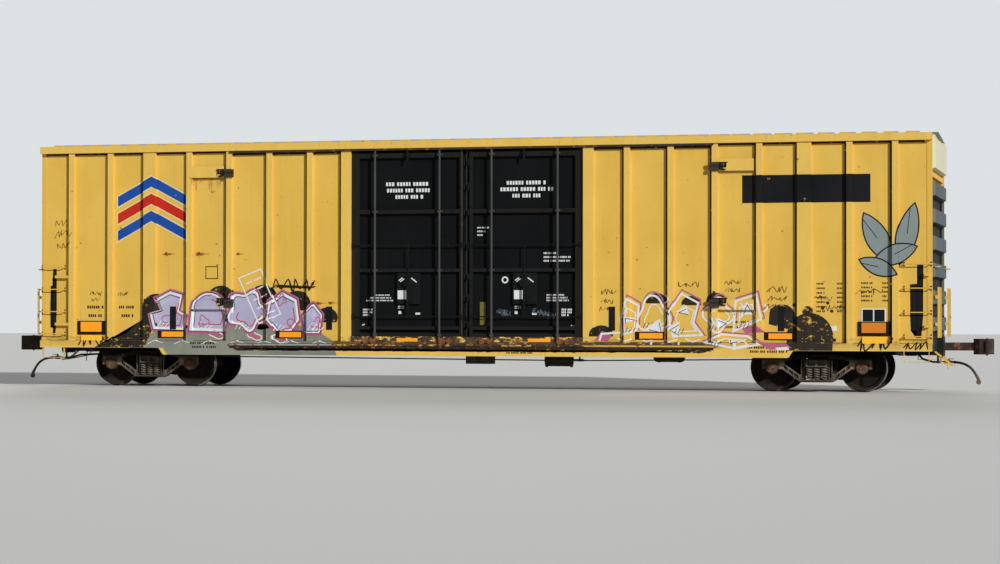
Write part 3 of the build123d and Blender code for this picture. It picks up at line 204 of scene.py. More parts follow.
class Skin(Graph):
    """Graph of one material, with the place of each surface point and the colour so far."""

    def __init__(self, tree: Tree, colour: object) -> None:
        """Read the object coordinates.

        Args:
            tree: The material's tree.
            colour: The first colour.
        """
        super().__init__(tree)
        self.place = self.node("ShaderNodeTexCoord").outputs["Object"]
        self.x, self.y, self.height = self.node("ShaderNodeSeparateXYZ", {"Vector": self.place}).outputs
        self.along, self.depth = self.math("ABSOLUTE", self.x), self.math("ABSOLUTE", self.y)
        self.colour = colour

    def tint(self, mask: object, colour: object) -> None:
        """Lay a colour over the one so far."""
        self.colour = self.mix(mask, self.colour, colour)

    def grain(self, stretch: Point3, *settings: float) -> Socket:
        """Noise over the surface, with its own scale along each axis."""
        return self.noise(self.scaled(self.place, stretch), *settings)

    def group(self, tree: Tree, **inputs: object) -> dict[str, Socket]:
        """Place a shared effect, and give its outputs by name."""
        return dict(self.node("ShaderNodeGroup", {"Vector": self.place, **inputs}, node_tree=tree).outputs.items())


class Group(Graph):
    """Graph of a node group, with the sockets that it reads and gives."""

    def __init__(self, kind: str, name: str, reads: dict[str, str], gives: dict[str, str]) -> None:
        """Make the group with its sockets.

        Args:
            kind: Shader or Geometry.
            name: The group's name.
            reads: Type of each input by name.
            gives: Type of each output by name.
        """
        super().__init__(bpy.data.node_groups.new(name, kind + "NodeTree"))
        for sockets, way in ((reads, "INPUT"), (gives, "OUTPUT")):
            for label, socket in sockets.items():
                self.tree.interface.new_socket(name=label, in_out=way, socket_type="NodeSocket" + socket)
        self.start, self.end = self.node("NodeGroupInput"), self.node("NodeGroupOutput")

    def read(self, name: str) -> Socket:
        """An input of the group."""
        return self.start.outputs[name]

    def give(self, name: str, value: object) -> None:
        """Feed an output of the group."""
        self.put(self.end.inputs[name], value)


class SharedEffects:
    """Shader node groups that several finishes use."""

    def __init__(self) -> None:
        """Build every group once."""
        self.weather = self._weather()
        self.rust = self._rust()
        self.splash = self._splash()

    def _weather(self) -> Tree:
        """Blotches, run marks, specks and grain of old paint.

        Returns:
            The node group.
        """
        gives = dict.fromkeys(("Blotch", "Streak", "Speck", "Grain"), "Float")
        graph = Group("Shader", "weathered surface", {"Vector": "Vector"}, gives)
        vector = graph.read("Vector")
        graph.give("Blotch", graph.span(graph.noise(vector, 0.9, 4.0, 0.6, 0.3), 0.35, 0.68))
        runs = graph.noise(graph.scaled(vector, (9.0, 9.0, 0.35)), 1.6, 4.0, 0.62)
        broken = graph.noise(graph.scaled(vector, (1.0, 1.0, 0.6)), 1.1, 2.0)
        graph.give("Streak", graph.times(graph.span(runs, 0.5, 0.78), graph.span(broken, 0.38, 0.62)))
        graph.give("Speck", graph.span(graph.noise(vector, 22.0, 2.0, 0.5), 0.69, 0.76))
        graph.give("Grain", graph.noise(vector, 130.0, 3.0, 0.6))
        return graph.tree

    def _rust(self) -> Tree:
        """Rust that grows from spots into patches as its amount rises.

        Returns:
            The node group.
        """
        reads, gives = {"Vector": "Vector", "Amount": "Float"}, {"Mask": "Float", "Color": "Color"}
        graph = Group("Shader", "rust patches", reads, gives)
        vector = graph.read("Vector")
        growth = graph.noise(vector, 7.0, 6.0, 0.68, 0.4)
        edge = graph.times(graph.math("SUBTRACT", 1.0, graph.read("Amount")), 0.9)
        graph.give("Mask", graph.span(graph.math("SUBTRACT", growth, edge), 0.0, 0.07))
        tone = graph.span(graph.noise(vector, 30.0, 4.0, 0.7), 0.3, 0.7)
        graph.give("Color", graph.mix(tone, (0.085, 0.028, 0.012), (0.3, 0.105, 0.035)))
        return graph.tree

    def _splash(self) -> Tree:
        """Dirt thrown up from the track: thick low down, broken up higher.

        Returns:
            The node group.
        """
        graph = Group("Shader", "track splash", {"Vector": "Vector", "Height": "Float"}, {"Mask": "Float"})
        vector = graph.read("Vector")
        height = graph.node("ShaderNodeSeparateXYZ", {"Vector": vector}).outputs["Z"]
        share = graph.math("DIVIDE", height, graph.read("Height"))
        ragged = graph.times(graph.noise(graph.scaled(vector, (3.0, 3.0, 1.2)), 1.7, 5.0, 0.65), 0.7)
        graph.give("Mask", graph.span(graph.plus(share, ragged), 0.75, 1.35, 1.0, 0.0))
        return graph.tree


# ---- finishes


@dataclass(frozen=True)
class Finish:
    """Old paint or bare metal, with what the weather did to it.

    Attributes:
        name: The material's name.
        base: Colour of the clean surface.
        faded: Colour where it has faded.
        dirt: Colour of the dust on it.
        streaks: Strength of the run marks.
        blotches: Strength of the faded blotches.
        specks: Strength of the small chips.
        rust: Amount of rust, from 0 to 1.
        splash: Height up to which the track's dirt reaches.
        rough: Roughness of the clean surface.
        metal: Metallic value.
        bump: Height of the fine relief.
        coarse: Strength of the casting's rough skin.
        gloss: Specular level.
        dents: Depth of the shallow dents in sheet metal, in metres.
    """

    name: str
    base: Point3
    faded: Point3
    dirt: Point3 = (0.16, 0.115, 0.07)
    streaks: float = 0.3
    blotches: float = 0.5
    specks: float = 0.4
    rust: float = 0.3
    splash: float = 0.6
    rough: float = 0.6
    metal: float = 0.0
    bump: float = 0.25
    coarse: float = 0.0
    gloss: float = 0.4
    dents: float = 0.0

    def material(self, effects: SharedEffects) -> Material:
        """Build the material.

        Args:
            effects: The shared node groups.

        Returns:
            The material.
        """
        made = bpy.data.materials.new(self.name)
        made.use_nodes = True
        made.node_tree.nodes.clear()
        skin = Skin(made.node_tree, self.base)
        weather = skin.group(effects.weather)
        skin.tint(skin.times(weather["Blotch"], self.blotches), self.faded)
        self.detail(skin)
        skin.tint(skin.times(weather["Streak"], self.streaks), self.dirt)
        skin.tint(skin.times(weather["Speck"], self.specks), tuple(c * 0.35 for c in self.dirt))
        rust = skin.group(effects.rust, Amount=self.rust_amount(skin))
        skin.tint(rust["Mask"], rust["Color"])
        splash = skin.group(effects.splash, Height=self.splash)
        skin.tint(skin.times(splash["Mask"], 0.75), self.dirt)
        rough = skin.plus(self.rough, skin.times(rust["Mask"], 0.25), clamp=True)
        rough = skin.plus(rough, skin.times(weather["Blotch"], 0.08), clamp=True)
        relief = skin.plus(weather["Grain"], skin.times(rust["Mask"], 0.9))
        if self.coarse:
            relief = skin.plus(relief, skin.times(skin.noise(skin.place, 45.0, 4.0, 0.7), self.coarse))
        bump = skin.node("ShaderNodeBump", {"Strength": self.bump, "Distance": 0.004, "Height": relief})
        if self.dents:
            swell = skin.grain((1.0, 1.0, 0.55), 1.6, 1.0, 0.4)
            hollow = skin.node("ShaderNodeBump", {"Strength": 1.0, "Distance": self.dents, "Height": swell})
            skin.put(bump.inputs["Normal"], hollow.outputs[0])
        feeds = {"Base Color": skin.colour, "Roughness": rough, "Normal": bump.outputs[0]}
        feeds.update({"Metallic": self.metal, "Specular IOR Level": self.gloss})
        shader = skin.node("ShaderNodeBsdfPrincipled", feeds)
        skin.node("ShaderNodeOutputMaterial", {"Surface": shader.outputs[0]})
        return made

    def detail(self, skin: Skin) -> None:
        """Add the marks of this finish alone; plain finishes have none."""

    def rust_amount(self, skin: Skin) -> object:
        """Amount of rust, a number or a socket of the material."""
        return self.rust


@dataclass(frozen=True)
class BodyPaint(Finish):
    """Golden paint of the body, with rust low down, under the door tracks and around old damage."""

    def detail(self, skin: Skin) -> None:
        """Pale dust on what stands proud, dark dirt on the door ledge and stop blocks, and painted shade of the lower
        door track on the sill behind and below it, with ragged drips of dirt.

        Args:
            skin: The material so far.
        """
        proud = skin.span(skin.depth, SHEET_Y + 0.012, POST_Y - 0.01)
        skin.tint(skin.times(proud, 0.38), (0.76, 0.515, 0.115))
        wash = skin.grain((1.0, 1.0, 0.25), 2.3, 5.0, 0.6)
        skin.tint(skin.span(wash, 0.45, 0.8, 0.0, 0.35), (0.56, 0.33, 0.055))
        ragged = skin.grain((1.0, 1.0, 2.2), 5.0, 6.0, 0.72)
        ledge = skin.times(skin.band(skin.height, 0.955, 1.078, 0.006), skin.span(skin.along, 2.43, 2.45, 1.0, 0.0))
        skin.tint(skin.times(ledge, skin.span(ragged, 0.42, 0.47)), (0.02, 0.012, 0.008))
        # Painted shade: the sill darkened behind the lower door track, where its shadow falls.
        shelf = skin.times(skin.band(skin.height, 0.865, 0.965, 0.012), skin.span(skin.along, 5.0, 5.3, 0.95, 0.15))
        skin.tint(skin.times(shelf, skin.span(ragged, 0.36, 0.46)), (0.024, 0.014, 0.009))
        # Painted shadow below the lower door track, with ragged drips of dirt.
        hung = skin.plus(skin.height, skin.times(skin.grain((1.0, 1.0, 0.35), 3.4, 3.0, 0.6), 0.16))
        track_shade_and_drips = skin.times(skin.band(hung, 0.868, 1.05, 0.01), skin.span(skin.along, 5.0, 5.05, 0.95, 0.0))
        skin.tint(skin.times(track_shade_and_drips, skin.span(skin.height, 0.875, 0.88, 1.0, 0.0)), (0.022, 0.012, 0.007))
        raised = skin.span(skin.depth, POST_Y + 0.002, POST_Y + 0.004)
        block = skin.times(skin.band(skin.along, POSTS[2] - 0.12, POSTS[2] + 0.1, 0.002), raised)
        skin.tint(skin.times(block, skin.span(skin.height, 4.7, 4.75, 1.0, 0.0)), (0.022, 0.015, 0.009))
        foot = skin.times(skin.band(skin.height, 0.955, 1.04, 0.05), skin.span(ragged, 0.48, 0.62))
        skin.tint(skin.times(foot, 0.45), (0.1, 0.055, 0.022))

    def rust_amount(self, skin: Skin) -> object:
        """More rust low down and beside the doors.

        Args:
            skin: The material so far.

        Returns:
            The amount's socket.
        """
        height, along = skin.height, skin.along
        under = skin.times(skin.span(height, 0.98, 1.12, 0.15, 0.0), skin.span(height, 0.86, 0.92, 0.25, 1.0))
        low = skin.times(under, skin.span(along, 2.5, 5.0, 1.0, 0.25))
        sill = skin.times(skin.band(height, 0.95, 1.075, 0.005), skin.span(along, 2.43, 2.45, 0.05, 0.0))
        beside = skin.times(skin.band(along, 5.15, 6.0, 0.2), skin.band(height, 3.6, 4.36, 0.25))
        return skin.plus(skin.plus(low, sill), skin.plus(skin.times(beside, 0.05), self.rust))


@dataclass(frozen=True)
class RoofPaint(Finish):
    """Bare roof sheets whose edges were painted with the sides."""

    def detail(self, skin: Skin) -> None:
        """Body paint along the eaves."""
        uneven = skin.plus(skin.depth, skin.times(skin.noise(skin.place, 9.0, 3.0, 0.6), 0.03))
        skin.tint(skin.span(uneven, 1.545, 1.555), BODY_COAT)


@dataclass(frozen=True)
class TrackPaint(Finish):
    """Steel of the door tracks: what is left of the coat on the face, and painted shade darkening the rusty steel below
    it.
    """

    def detail(self, skin: Skin) -> None:
        """Body paint on the lower track's face, sprayed grey on the left of the near side, and painted shade below the
        face.

        Args:
            skin: The material so far.
        """
        ragged = skin.grain((1.0, 1.0, 2.2), 5.0, 6.0, 0.72)
        kept = skin.plus(ragged, skin.span(skin.along, 2.4, 2.9, -0.06, 0.22))
        face = skin.times(skin.band(skin.height, 0.874, 0.913, 0.003), skin.span(kept, 0.46, 0.5))
        sprayed = skin.times(skin.span(skin.x, -2.9, -2.6, 1.0, 0.0), skin.span(skin.y, -0.5, 0.5, 1.0, 0.0))
        skin.tint(face, skin.mix(sprayed, (0.6, 0.365, 0.062), (0.3, 0.31, 0.29)))
        # Painted shade below the face of the lower track, ragged by noise.
        worn = skin.span(ragged, 0.3, 0.62, 1.0, 0.55)
        skin.tint(skin.times(skin.span(skin.height, 0.86, 0.868, 1.0, 0.0), worn), (0.018, 0.01, 0.007))


@dataclass(frozen=True)
class EndPaint(Finish):
    """Black paint of the ends, with painted sheen making the rib faces lighter blue-grey than the recesses, painted
    highlight with dust on the rib ends beside the sides, yellow on the small rib and white above it.
    """

    def detail(self, skin: Skin) -> None:
        """Bands of the end wall, from the sill to the roof.

        Args:
            skin: The material so far.
        """
        # Painted sheen: the rib faces lighter blue-grey than the black recesses, varied by noise.
        worn = skin.span(skin.noise(skin.place, 3.0, 4.0, 0.6), 0.3, 0.7, 0.7, 1.0)
        ribs = skin.times(skin.span(skin.along, 9.35, 9.385), skin.span(skin.height, 1.15, 1.16))
        skin.tint(skin.times(ribs, worn), (0.082, 0.102, 0.116))
        # Painted highlight with dust: olive on the rib ends that face the sides.
        slope = skin.times(skin.span(skin.depth, 1.33, 1.35), skin.span(skin.along, 9.275, 9.31))
        skin.tint(skin.times(slope, 0.85), (0.17, 0.155, 0.095))
        skin.tint(skin.band(skin.height, 4.168, 4.352, 0.004), (0.68, 0.4, 0.07))
        skin.tint(skin.span(skin.height, 4.354, 4.36), (0.58, 0.565, 0.4))
        skin.tint(skin.times(skin.span(skin.depth, 1.45, 1.453), skin.span(skin.height, 0.972, 0.974)), TRIM_COAT)


@dataclass(frozen=True)
class SprayPaint(Finish):
    """Sprayed or stencilled paint that lets the coat below show through.

    Attributes:
        cover: Where the noise lets the lower coat through: higher covers more.
        under: Colour of the lower coat.
    """

    splash: float = 0.2
    cover: float = 0.66
    under: Point3 = (0.64, 0.4, 0.07)

    def detail(self, skin: Skin) -> None:
        """Patches where the lower coat shows."""
        holes = skin.grain((1.0, 1.0, 1.6), 6.0, 6.0, 0.7, 0.2)
        skin.tint(skin.span(holes, self.cover - 0.035, self.cover + 0.035), self.under)


@dataclass(frozen=True)
class CastDust(Finish):
    """Truck casting, left black high up where the body's shadow falls, whose outer faces are paler lower down: painted
    sunlight with pale dust.
    """

    def detail(self, skin: Skin) -> None:
        """Paler outermost faces below the compression member and paler braces, painted sunlight with pale dust, with
        painted shadow of the body above.

        Args:
            skin: The material so far.
        """
        # Painted light and shade with dust: outer faces paler below about 0.6 m and left dark above, where the body's
        # shadow falls.
        outer = skin.times(
            skin.span(skin.depth, 1.035, 1.072, 0.0, 0.85), skin.span(skin.height, 0.6, 0.655, 1.0, 0.08),
        )
        patchy = skin.span(skin.noise(skin.place, 7.0, 4.0, 0.6), 0.25, 0.6, 0.45, 1.0)
        skin.tint(skin.times(outer, patchy), (0.145, 0.128, 0.098))
        offset = skin.math("ABSOLUTE", skin.math("SUBTRACT", skin.along, TRUCK_X))
        brace = skin.times(skin.band(offset, 0.34, 0.74, 0.05), skin.span(skin.height, 0.54, 0.6, 1.0, 0.0))
        skin.tint(skin.times(skin.times(brace, outer), patchy), (0.27, 0.24, 0.185))


@dataclass(frozen=True)
class DoorPaint(Finish):
    """Black paint of the doors, worn brown down the outer frames."""

    def detail(self, skin: Skin) -> None:
        """Brown wear on the outer frames and pale wear on the raised belts.

        Args:
            skin: The material so far.
        """
        outer = skin.times(skin.span(skin.along, 2.34, 2.37), skin.span(skin.height, 2.9, 3.0, 0.7, 0.15))
        skin.tint(outer, (0.035, 0.018, 0.012))
        skin.tint(skin.times(skin.span(skin.depth, 1.5, 1.53), 0.55), (0.021, 0.02, 0.017))


@dataclass(frozen=True)
class HardwarePaint(Finish):
    """Paint of the door rods, with red rust at their feet."""

    def rust_amount(self, skin: Skin) -> object:
        """Full rust at the feet."""
        return skin.span(skin.height, 1.03, 1.06, 0.75, self.rust)


@dataclass(frozen=True)
class WheelMetal(Finish):
    """Rusty wheel whose tread is worn bright."""

    def material(self, effects: SharedEffects) -> Material:
        """Build the material, with a bright tread.

        Args:
            effects: The shared node groups.

        Returns:
            The material.
        """
        made = super().material(effects)
        shader = next(n for n in made.node_tree.nodes if n.type == "BSDF_PRINCIPLED")
        skin = Skin(made.node_tree, shader.inputs["Base Color"].links[0].from_socket)
        height = skin.math("ABSOLUTE", skin.math("SUBTRACT", skin.height, AXLE_Z))
        nearest = None
        for centre in AXLES:
            ahead = skin.math("ABSOLUTE", skin.math("SUBTRACT", skin.x, centre))
            squared = skin.plus(skin.math("POWER", ahead, 2.0), skin.math("POWER", height, 2.0))
            nearest = squared if nearest is None else skin.math("MINIMUM", nearest, squared)
        rim = skin.span(skin.math("SQRT", nearest), 0.448, 0.4535)
        tread = skin.times(rim, skin.band(skin.depth, 0.712, 0.8, 0.006))
        skin.tint(tread, (0.42, 0.4, 0.38))
        skin.put(shader.inputs["Base Color"], skin.colour)
        rough = shader.inputs["Roughness"]
        dull = skin.times(skin.math("SUBTRACT", 1.0, tread), rough.links[0].from_socket)
        skin.put(rough, skin.plus(dull, skin.times(tread, 0.28), clamp=True))
        skin.put(shader.inputs["Metallic"], tread)
        return made


# Finish of each of the record's slots, and of small pieces that differ from their slot.
SLOTS = {
    "body_yellow": BodyPaint(
        "golden body paint", BODY_COAT, (0.72, 0.465, 0.09), dirt=(0.3, 0.19, 0.05), streaks=0.22, specks=0.55,
        rust=0.235, splash=0.45, dents=0.016,
    ),
    "door_black": DoorPaint(
        "black door paint", (0.0042, 0.0052, 0.0058), (0.0075, 0.0088, 0.009), dirt=(0.02, 0.017, 0.013), streaks=0.3,
        specks=0.2, rust=0.2, splash=0.62, rough=0.7, gloss=0.05, dents=0.006,
    ),
    "end_black": EndPaint(
        "black end paint", (0.005, 0.0056, 0.006), (0.011, 0.011, 0.0105), dirt=(0.045, 0.036, 0.024), streaks=0.3,
        specks=0.4, rust=0.24, splash=0.9, rough=0.6, gloss=0.15,
    ),
    "door_hardware": HardwarePaint(
        "worn door rods", (0.035, 0.035, 0.034), (0.07, 0.066, 0.06), dirt=(0.05, 0.038, 0.028), streaks=0.4,
        rust=0.26, splash=0.3, rough=0.55, gloss=0.2,
    ),
    "track_rust": TrackPaint(
        "rusty door track", (0.03, 0.019, 0.014), (0.085, 0.052, 0.025), dirt=(0.035, 0.024, 0.017), rust=0.38,
        splash=0.3, rough=0.75, gloss=0.2,
    ),
    "roof_metal": RoofPaint(
        "dull galvanised roof", (0.31, 0.315, 0.31), (0.42, 0.42, 0.405), dirt=(0.16, 0.13, 0.09), streaks=0.2,
        specks=0.4, rust=0.28, splash=0.2, rough=0.9, gloss=0.06,
    ),
    "safety_yellow": Finish(
        "yellow rungs", TRIM_COAT, (0.56, 0.34, 0.06), dirt=(0.1, 0.06, 0.03), streaks=0.5, rust=0.31, splash=0.6,
    ),
    "underframe_steel": Finish(
        "dusty black underframe", (0.014, 0.012, 0.01), (0.036, 0.028, 0.02), dirt=(0.07, 0.05, 0.033), blotches=0.8,
        rust=0.33, splash=1.0, rough=0.8, gloss=0.2,
    ),
    "brake_gear": Finish(
        "dusty brake gear", (0.018, 0.015, 0.013), (0.045, 0.035, 0.026), dirt=(0.08, 0.06, 0.04), blotches=0.8,
        rust=0.35, splash=1.0, rough=0.8, gloss=0.2,
    ),
    "truck_casting": CastDust(
        "rough truck casting", (0.0075, 0.0062, 0.0052), (0.02, 0.0155, 0.011), dirt=(0.045, 0.035, 0.024),
        blotches=0.7, rust=0.33, splash=0.6, rough=0.85, bump=0.5, coarse=1.2, gloss=0.1,
    ),
    "spring_steel": Finish(
        "dusty spring steel", (0.15, 0.125, 0.094), (0.23, 0.19, 0.14), dirt=(0.1, 0.075, 0.05), rust=0.32, rough=0.7,
    ),
    "bearing_steel": Finish(
        "rusty bearing cups", (0.075, 0.042, 0.028), (0.13, 0.075, 0.048), dirt=(0.05, 0.034, 0.024), rust=0.42,
        rough=0.8, gloss=0.2,
    ),
    "axle_steel": Finish("brown axle", (0.045, 0.03, 0.022), (0.08, 0.052, 0.036), rust=0.4, rough=0.8, gloss=0.2),
    "wheel_steel": WheelMetal(
        "brown wheel", (0.0085, 0.0065, 0.0055), (0.024, 0.017, 0.013), dirt=(0.034, 0.025, 0.018), blotches=0.6,
        rust=0.27, splash=0.2, rough=0.78, coarse=0.5, gloss=0.1,
    ),
    "cast_gear": Finish(
        "rusty cast steel", (0.026, 0.018, 0.014), (0.06, 0.04, 0.027), rust=0.39, rough=0.8, bump=0.5, coarse=1.2,
        gloss=0.2,
    ),
    "hose_rubber": Finish(
        "matt hose rubber", (0.02, 0.02, 0.021), (0.035, 0.034, 0.033), dirt=(0.1, 0.08, 0.06), rust=0.0, splash=0.4,
        rough=0.7,
    ),
}
EXTRAS = {
    "lock": Finish(
        "black lock paint", (0.006, 0.0068, 0.0072), (0.013, 0.013, 0.012), dirt=(0.04, 0.03, 0.02), streaks=0.4,
        rust=0.27, splash=0.4, rough=0.65, gloss=0.08,
    ),
    "amber": Finish(
        "amber reflector", (0.95, 0.33, 0.008), (0.98, 0.4, 0.02), streaks=0.15, rust=0.0, splash=0.1, rough=0.35,
    ),
    "dusty": Finish(
        "dusty amber reflector", (0.6, 0.185, 0.008), (0.66, 0.24, 0.02), dirt=(0.2, 0.1, 0.03), streaks=0.4,
        rust=0.15, splash=0.2, rough=0.45,
    ),
    "bright": Finish(
        "bright placard yellow", (0.9, 0.5, 0.018), (0.82, 0.44, 0.03), dirt=(0.22, 0.12, 0.03), streaks=0.3, rust=0.2,
        splash=0.3,
    ),
    "red": Finish(
        "red roller rust", (0.17, 0.045, 0.022), (0.26, 0.08, 0.04), dirt=(0.06, 0.03, 0.02), rust=0.36, rough=0.8,
        gloss=0.2,
    ),
    "worn": Finish(
        "worn brown edge", (0.035, 0.024, 0.017), (0.075, 0.052, 0.034), dirt=(0.02, 0.015, 0.01), rust=0.34,
        splash=0.3, gloss=0.2,
    ),
    "dull_yellow": Finish(
        "dull yellow plate", (0.16, 0.125, 0.012), (0.12, 0.1, 0.015), dirt=(0.03, 0.03, 0.02), rust=0.25, splash=0.2,
    ),
}


# ---- building blocks


class Side(Enum):
    """Side of the car: the near one faces -Y, and the far one is the same turned half round."""

    NEAR = 1
    FAR = -1

    @property
    def key(self) -> str:
        """Word for the side in the names of pieces."""
        return self.name.lower()

    @property
    def outward(self) -> Point3:
        """Direction that the side faces."""
        return (0.0, -float(self.value), 0.0)

    def at(self, x: float, depth: float, z: float) -> Point3:
        """Point of this side, at a distance from the centre line."""
        return (self.value * x, -self.value * depth, z)


class Workshop:
    """Makes mesh objects, gives them their finish and sets them on a body."""

    def __init__(self) -> None:
        """Build the shared node groups and the slots' materials."""
        self.effects = SharedEffects()
        self.materials = {slot: finish.material(self.effects) for slot, finish in SLOTS.items()}
        self.lock_paint = self.paint(EXTRAS["lock"])

    def paint(self, finish: Finish) -> Material:
        """Material of a finish, made once."""
        return bpy.data.materials.get(finish.name) or finish.material(self.effects)

    def place(self, name: str, mesh: Mesh, slot: str, body: str, material: Material | None = None) -> Object:
        """Put a mesh in the scene on a body.

        Args:
            name: The piece's name.
            mesh: Its mesh, in the row frame.
            slot: The record's slot it takes its finish from.
            body: The body it rides on.
            material: Its own material, if it isn't the slot's.

        Returns:
            The object.
        """
        made = bpy.data.objects.new(name, mesh)
        bpy.context.scene.collection.objects.link(made)
        mesh.materials.clear()
        mesh.materials.append(material or self.materials[slot])
        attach(made, body)
        LOG.info("%s: %d faces on %s", name, len(mesh.polygons), body)
        return made

    def from_bmesh(
        self, name: str, made: BMesh, slot: str, body: str = "car", material: Material | None = None,
    ) -> Object:
        """Turn a bmesh into a piece.

        Args:
            name: The piece's name.
            made: The bmesh, which is freed.
            slot: The record's slot.
            body: The body it rides on.
            material: Its own material, if any.

        Returns:
            The object.
        """
        mesh = bpy.data.meshes.new(name)
        made.to_mesh(mesh)
        made.free()
        return self.place(name, mesh, slot, body, material)

    def grown(
        self, name: str, seed_mesh: Mesh, tree: Tree, values: dict, slot: str, body: str,
        material: Material | None = None, smooth: bool = False,
    ) -> Object:
        """Run a geometry tree on a mesh and keep the result as a plain mesh.

        Args:
            name: The piece's name.
            seed_mesh: The mesh whose points or edges the tree reads.
            tree: The geometry tree.
            values: Its inputs by name.
            slot: The record's slot.
            body: The body it rides on.
            material: Its own material, if any.
            smooth: Shade it smooth.

        Returns:
            The object.
        """
        paint = material or self.materials[slot]
        source = bpy.data.objects.new(name + "_seed", seed_mesh)
        bpy.context.scene.collection.objects.link(source)
        modifier = source.modifiers.new("growth", "NODES")
        modifier.node_group = tree
        settings = {**values, "Material": paint}
        for item in tree.interface.items_tree:
            if item.item_type == "SOCKET" and item.in_out == "INPUT" and item.name in settings:
                modifier[item.identifier] = settings[item.name]
        depsgraph = bpy.context.evaluated_depsgraph_get()
        mesh = bpy.data.meshes.new_from_object(source.evaluated_get(depsgraph))
        bpy.data.objects.remove(source)
        mesh.name = name
        if smooth:
            mesh.polygons.foreach_set("use_smooth", [True] * len(mesh.polygons))
        return self.place(name, mesh, slot, body, paint)


def add_prism(target: BMesh, outline: Points, start: float, stop: float) -> None:
    """Add an outline that is drawn out along Y.

    Args:
        target: The bmesh.
        outline: Its (x, z) points.
        start: Where it starts along Y.
        stop: Where it ends.
    """
    low, high = ([target.verts.new((x, y, z)) for x, z in outline] for y in (start, stop))
    faces = [target.faces.new(low), target.faces.new(high)]
    for i in range(len(outline)):
        j = (i + 1) % len(outline)
        faces.append(target.faces.new((low[i], low[j], high[j], high[i])))
    bmesh.ops.recalc_face_normals(target, faces=faces)


def add_bar(target: BMesh, low: Point3, high: Point3, edge: float = 0.0) -> None:
    """Add a square bar between two corners, with broken edges if asked.

    Args:
        target: The bmesh.
        low: Lowest corner.
        high: Highest corner.
        edge: Width of the broken edge across X and Z.
    """
    x0, y0, z0 = low
    x1, y1, z1 = high
    if edge:
        outline = [
            (x0 + edge, z0), (x1 - edge, z0), (x1, z0 + edge), (x1, z1 - edge),
            (x1 - edge, z1), (x0 + edge, z1), (x0, z1 - edge), (x0, z0 + edge),
        ]
    else:
        outline = [(x0, z0), (x1, z0), (x1, z1), (x0, z1)]
    add_prism(target, outline, y0, y1)


def add_hoops(target: BMesh, hoops: Sequence[tuple[Vector, Vector, Vector, float]], sides: int) -> None:
    """Join a row of circles into a closed skin.

    Args:
        target: The bmesh.
        hoops: Middle, two directions across and radius of each circle.
        sides: Faces around them.
    """
    rings = []
    for middle, side, up, radius in hoops:
        turns = [math.tau * k / sides for k in range(sides)]
        rings.append([target.verts.new(middle + radius * (math.cos(a) * side + math.sin(a) * up)) for a in turns])
    faces = [target.faces.new(rings[0]), target.faces.new(rings[-1])]
    for first, second in zip(rings, rings[1:]):
        for k in range(sides):
            j = (k + 1) % sides
            faces.append(target.faces.new((first[k], first[j], second[j], second[k])))
    bmesh.ops.recalc_face_normals(target, faces=faces)


def add_tube(target: BMesh, points: Points3, radius: float, sides: int = 8) -> None:
    """Add a round bar along points, closed at both ends.

    Args:
        target: The bmesh.
        points: Its centre line.
        radius: Its radius.
        sides: Faces around it.
    """
    line = [Vector(p) for p in points]
    hoops = []
    for i, centre in enumerate(line):
        ahead = line[min(i + 1, len(line) - 1)] - line[max(i - 1, 0)]
        ahead.normalize()
        side = ahead.cross(Vector((0, 0, 1)))
        if side.length < 0.05:
            side = ahead.cross(Vector((0, 1, 0)))
        side.normalize()
        hoops.append((centre, side, side.cross(ahead), radius))
    add_hoops(target, hoops, sides)


def add_turning(target: BMesh, profile: Points, centre: Point3, axis: Point3, sides: int = 20) -> None:
    """Add a turned shape: a profile of (distance along the axis, radius) about an axis.

    Args:
        target: The bmesh.
        profile: The profile, closed onto the axis at both ends.
        centre: Where the axis starts.
        axis: Its direction.
        sides: Faces around it.
    """
    along = Vector(axis).normalized()
    side = along.orthogonal().normalized()
    up = along.cross(side)
    add_hoops(target, [(Vector(centre) + along * far, side, up, radius) for far, radius in profile], sides)


# ---- studio


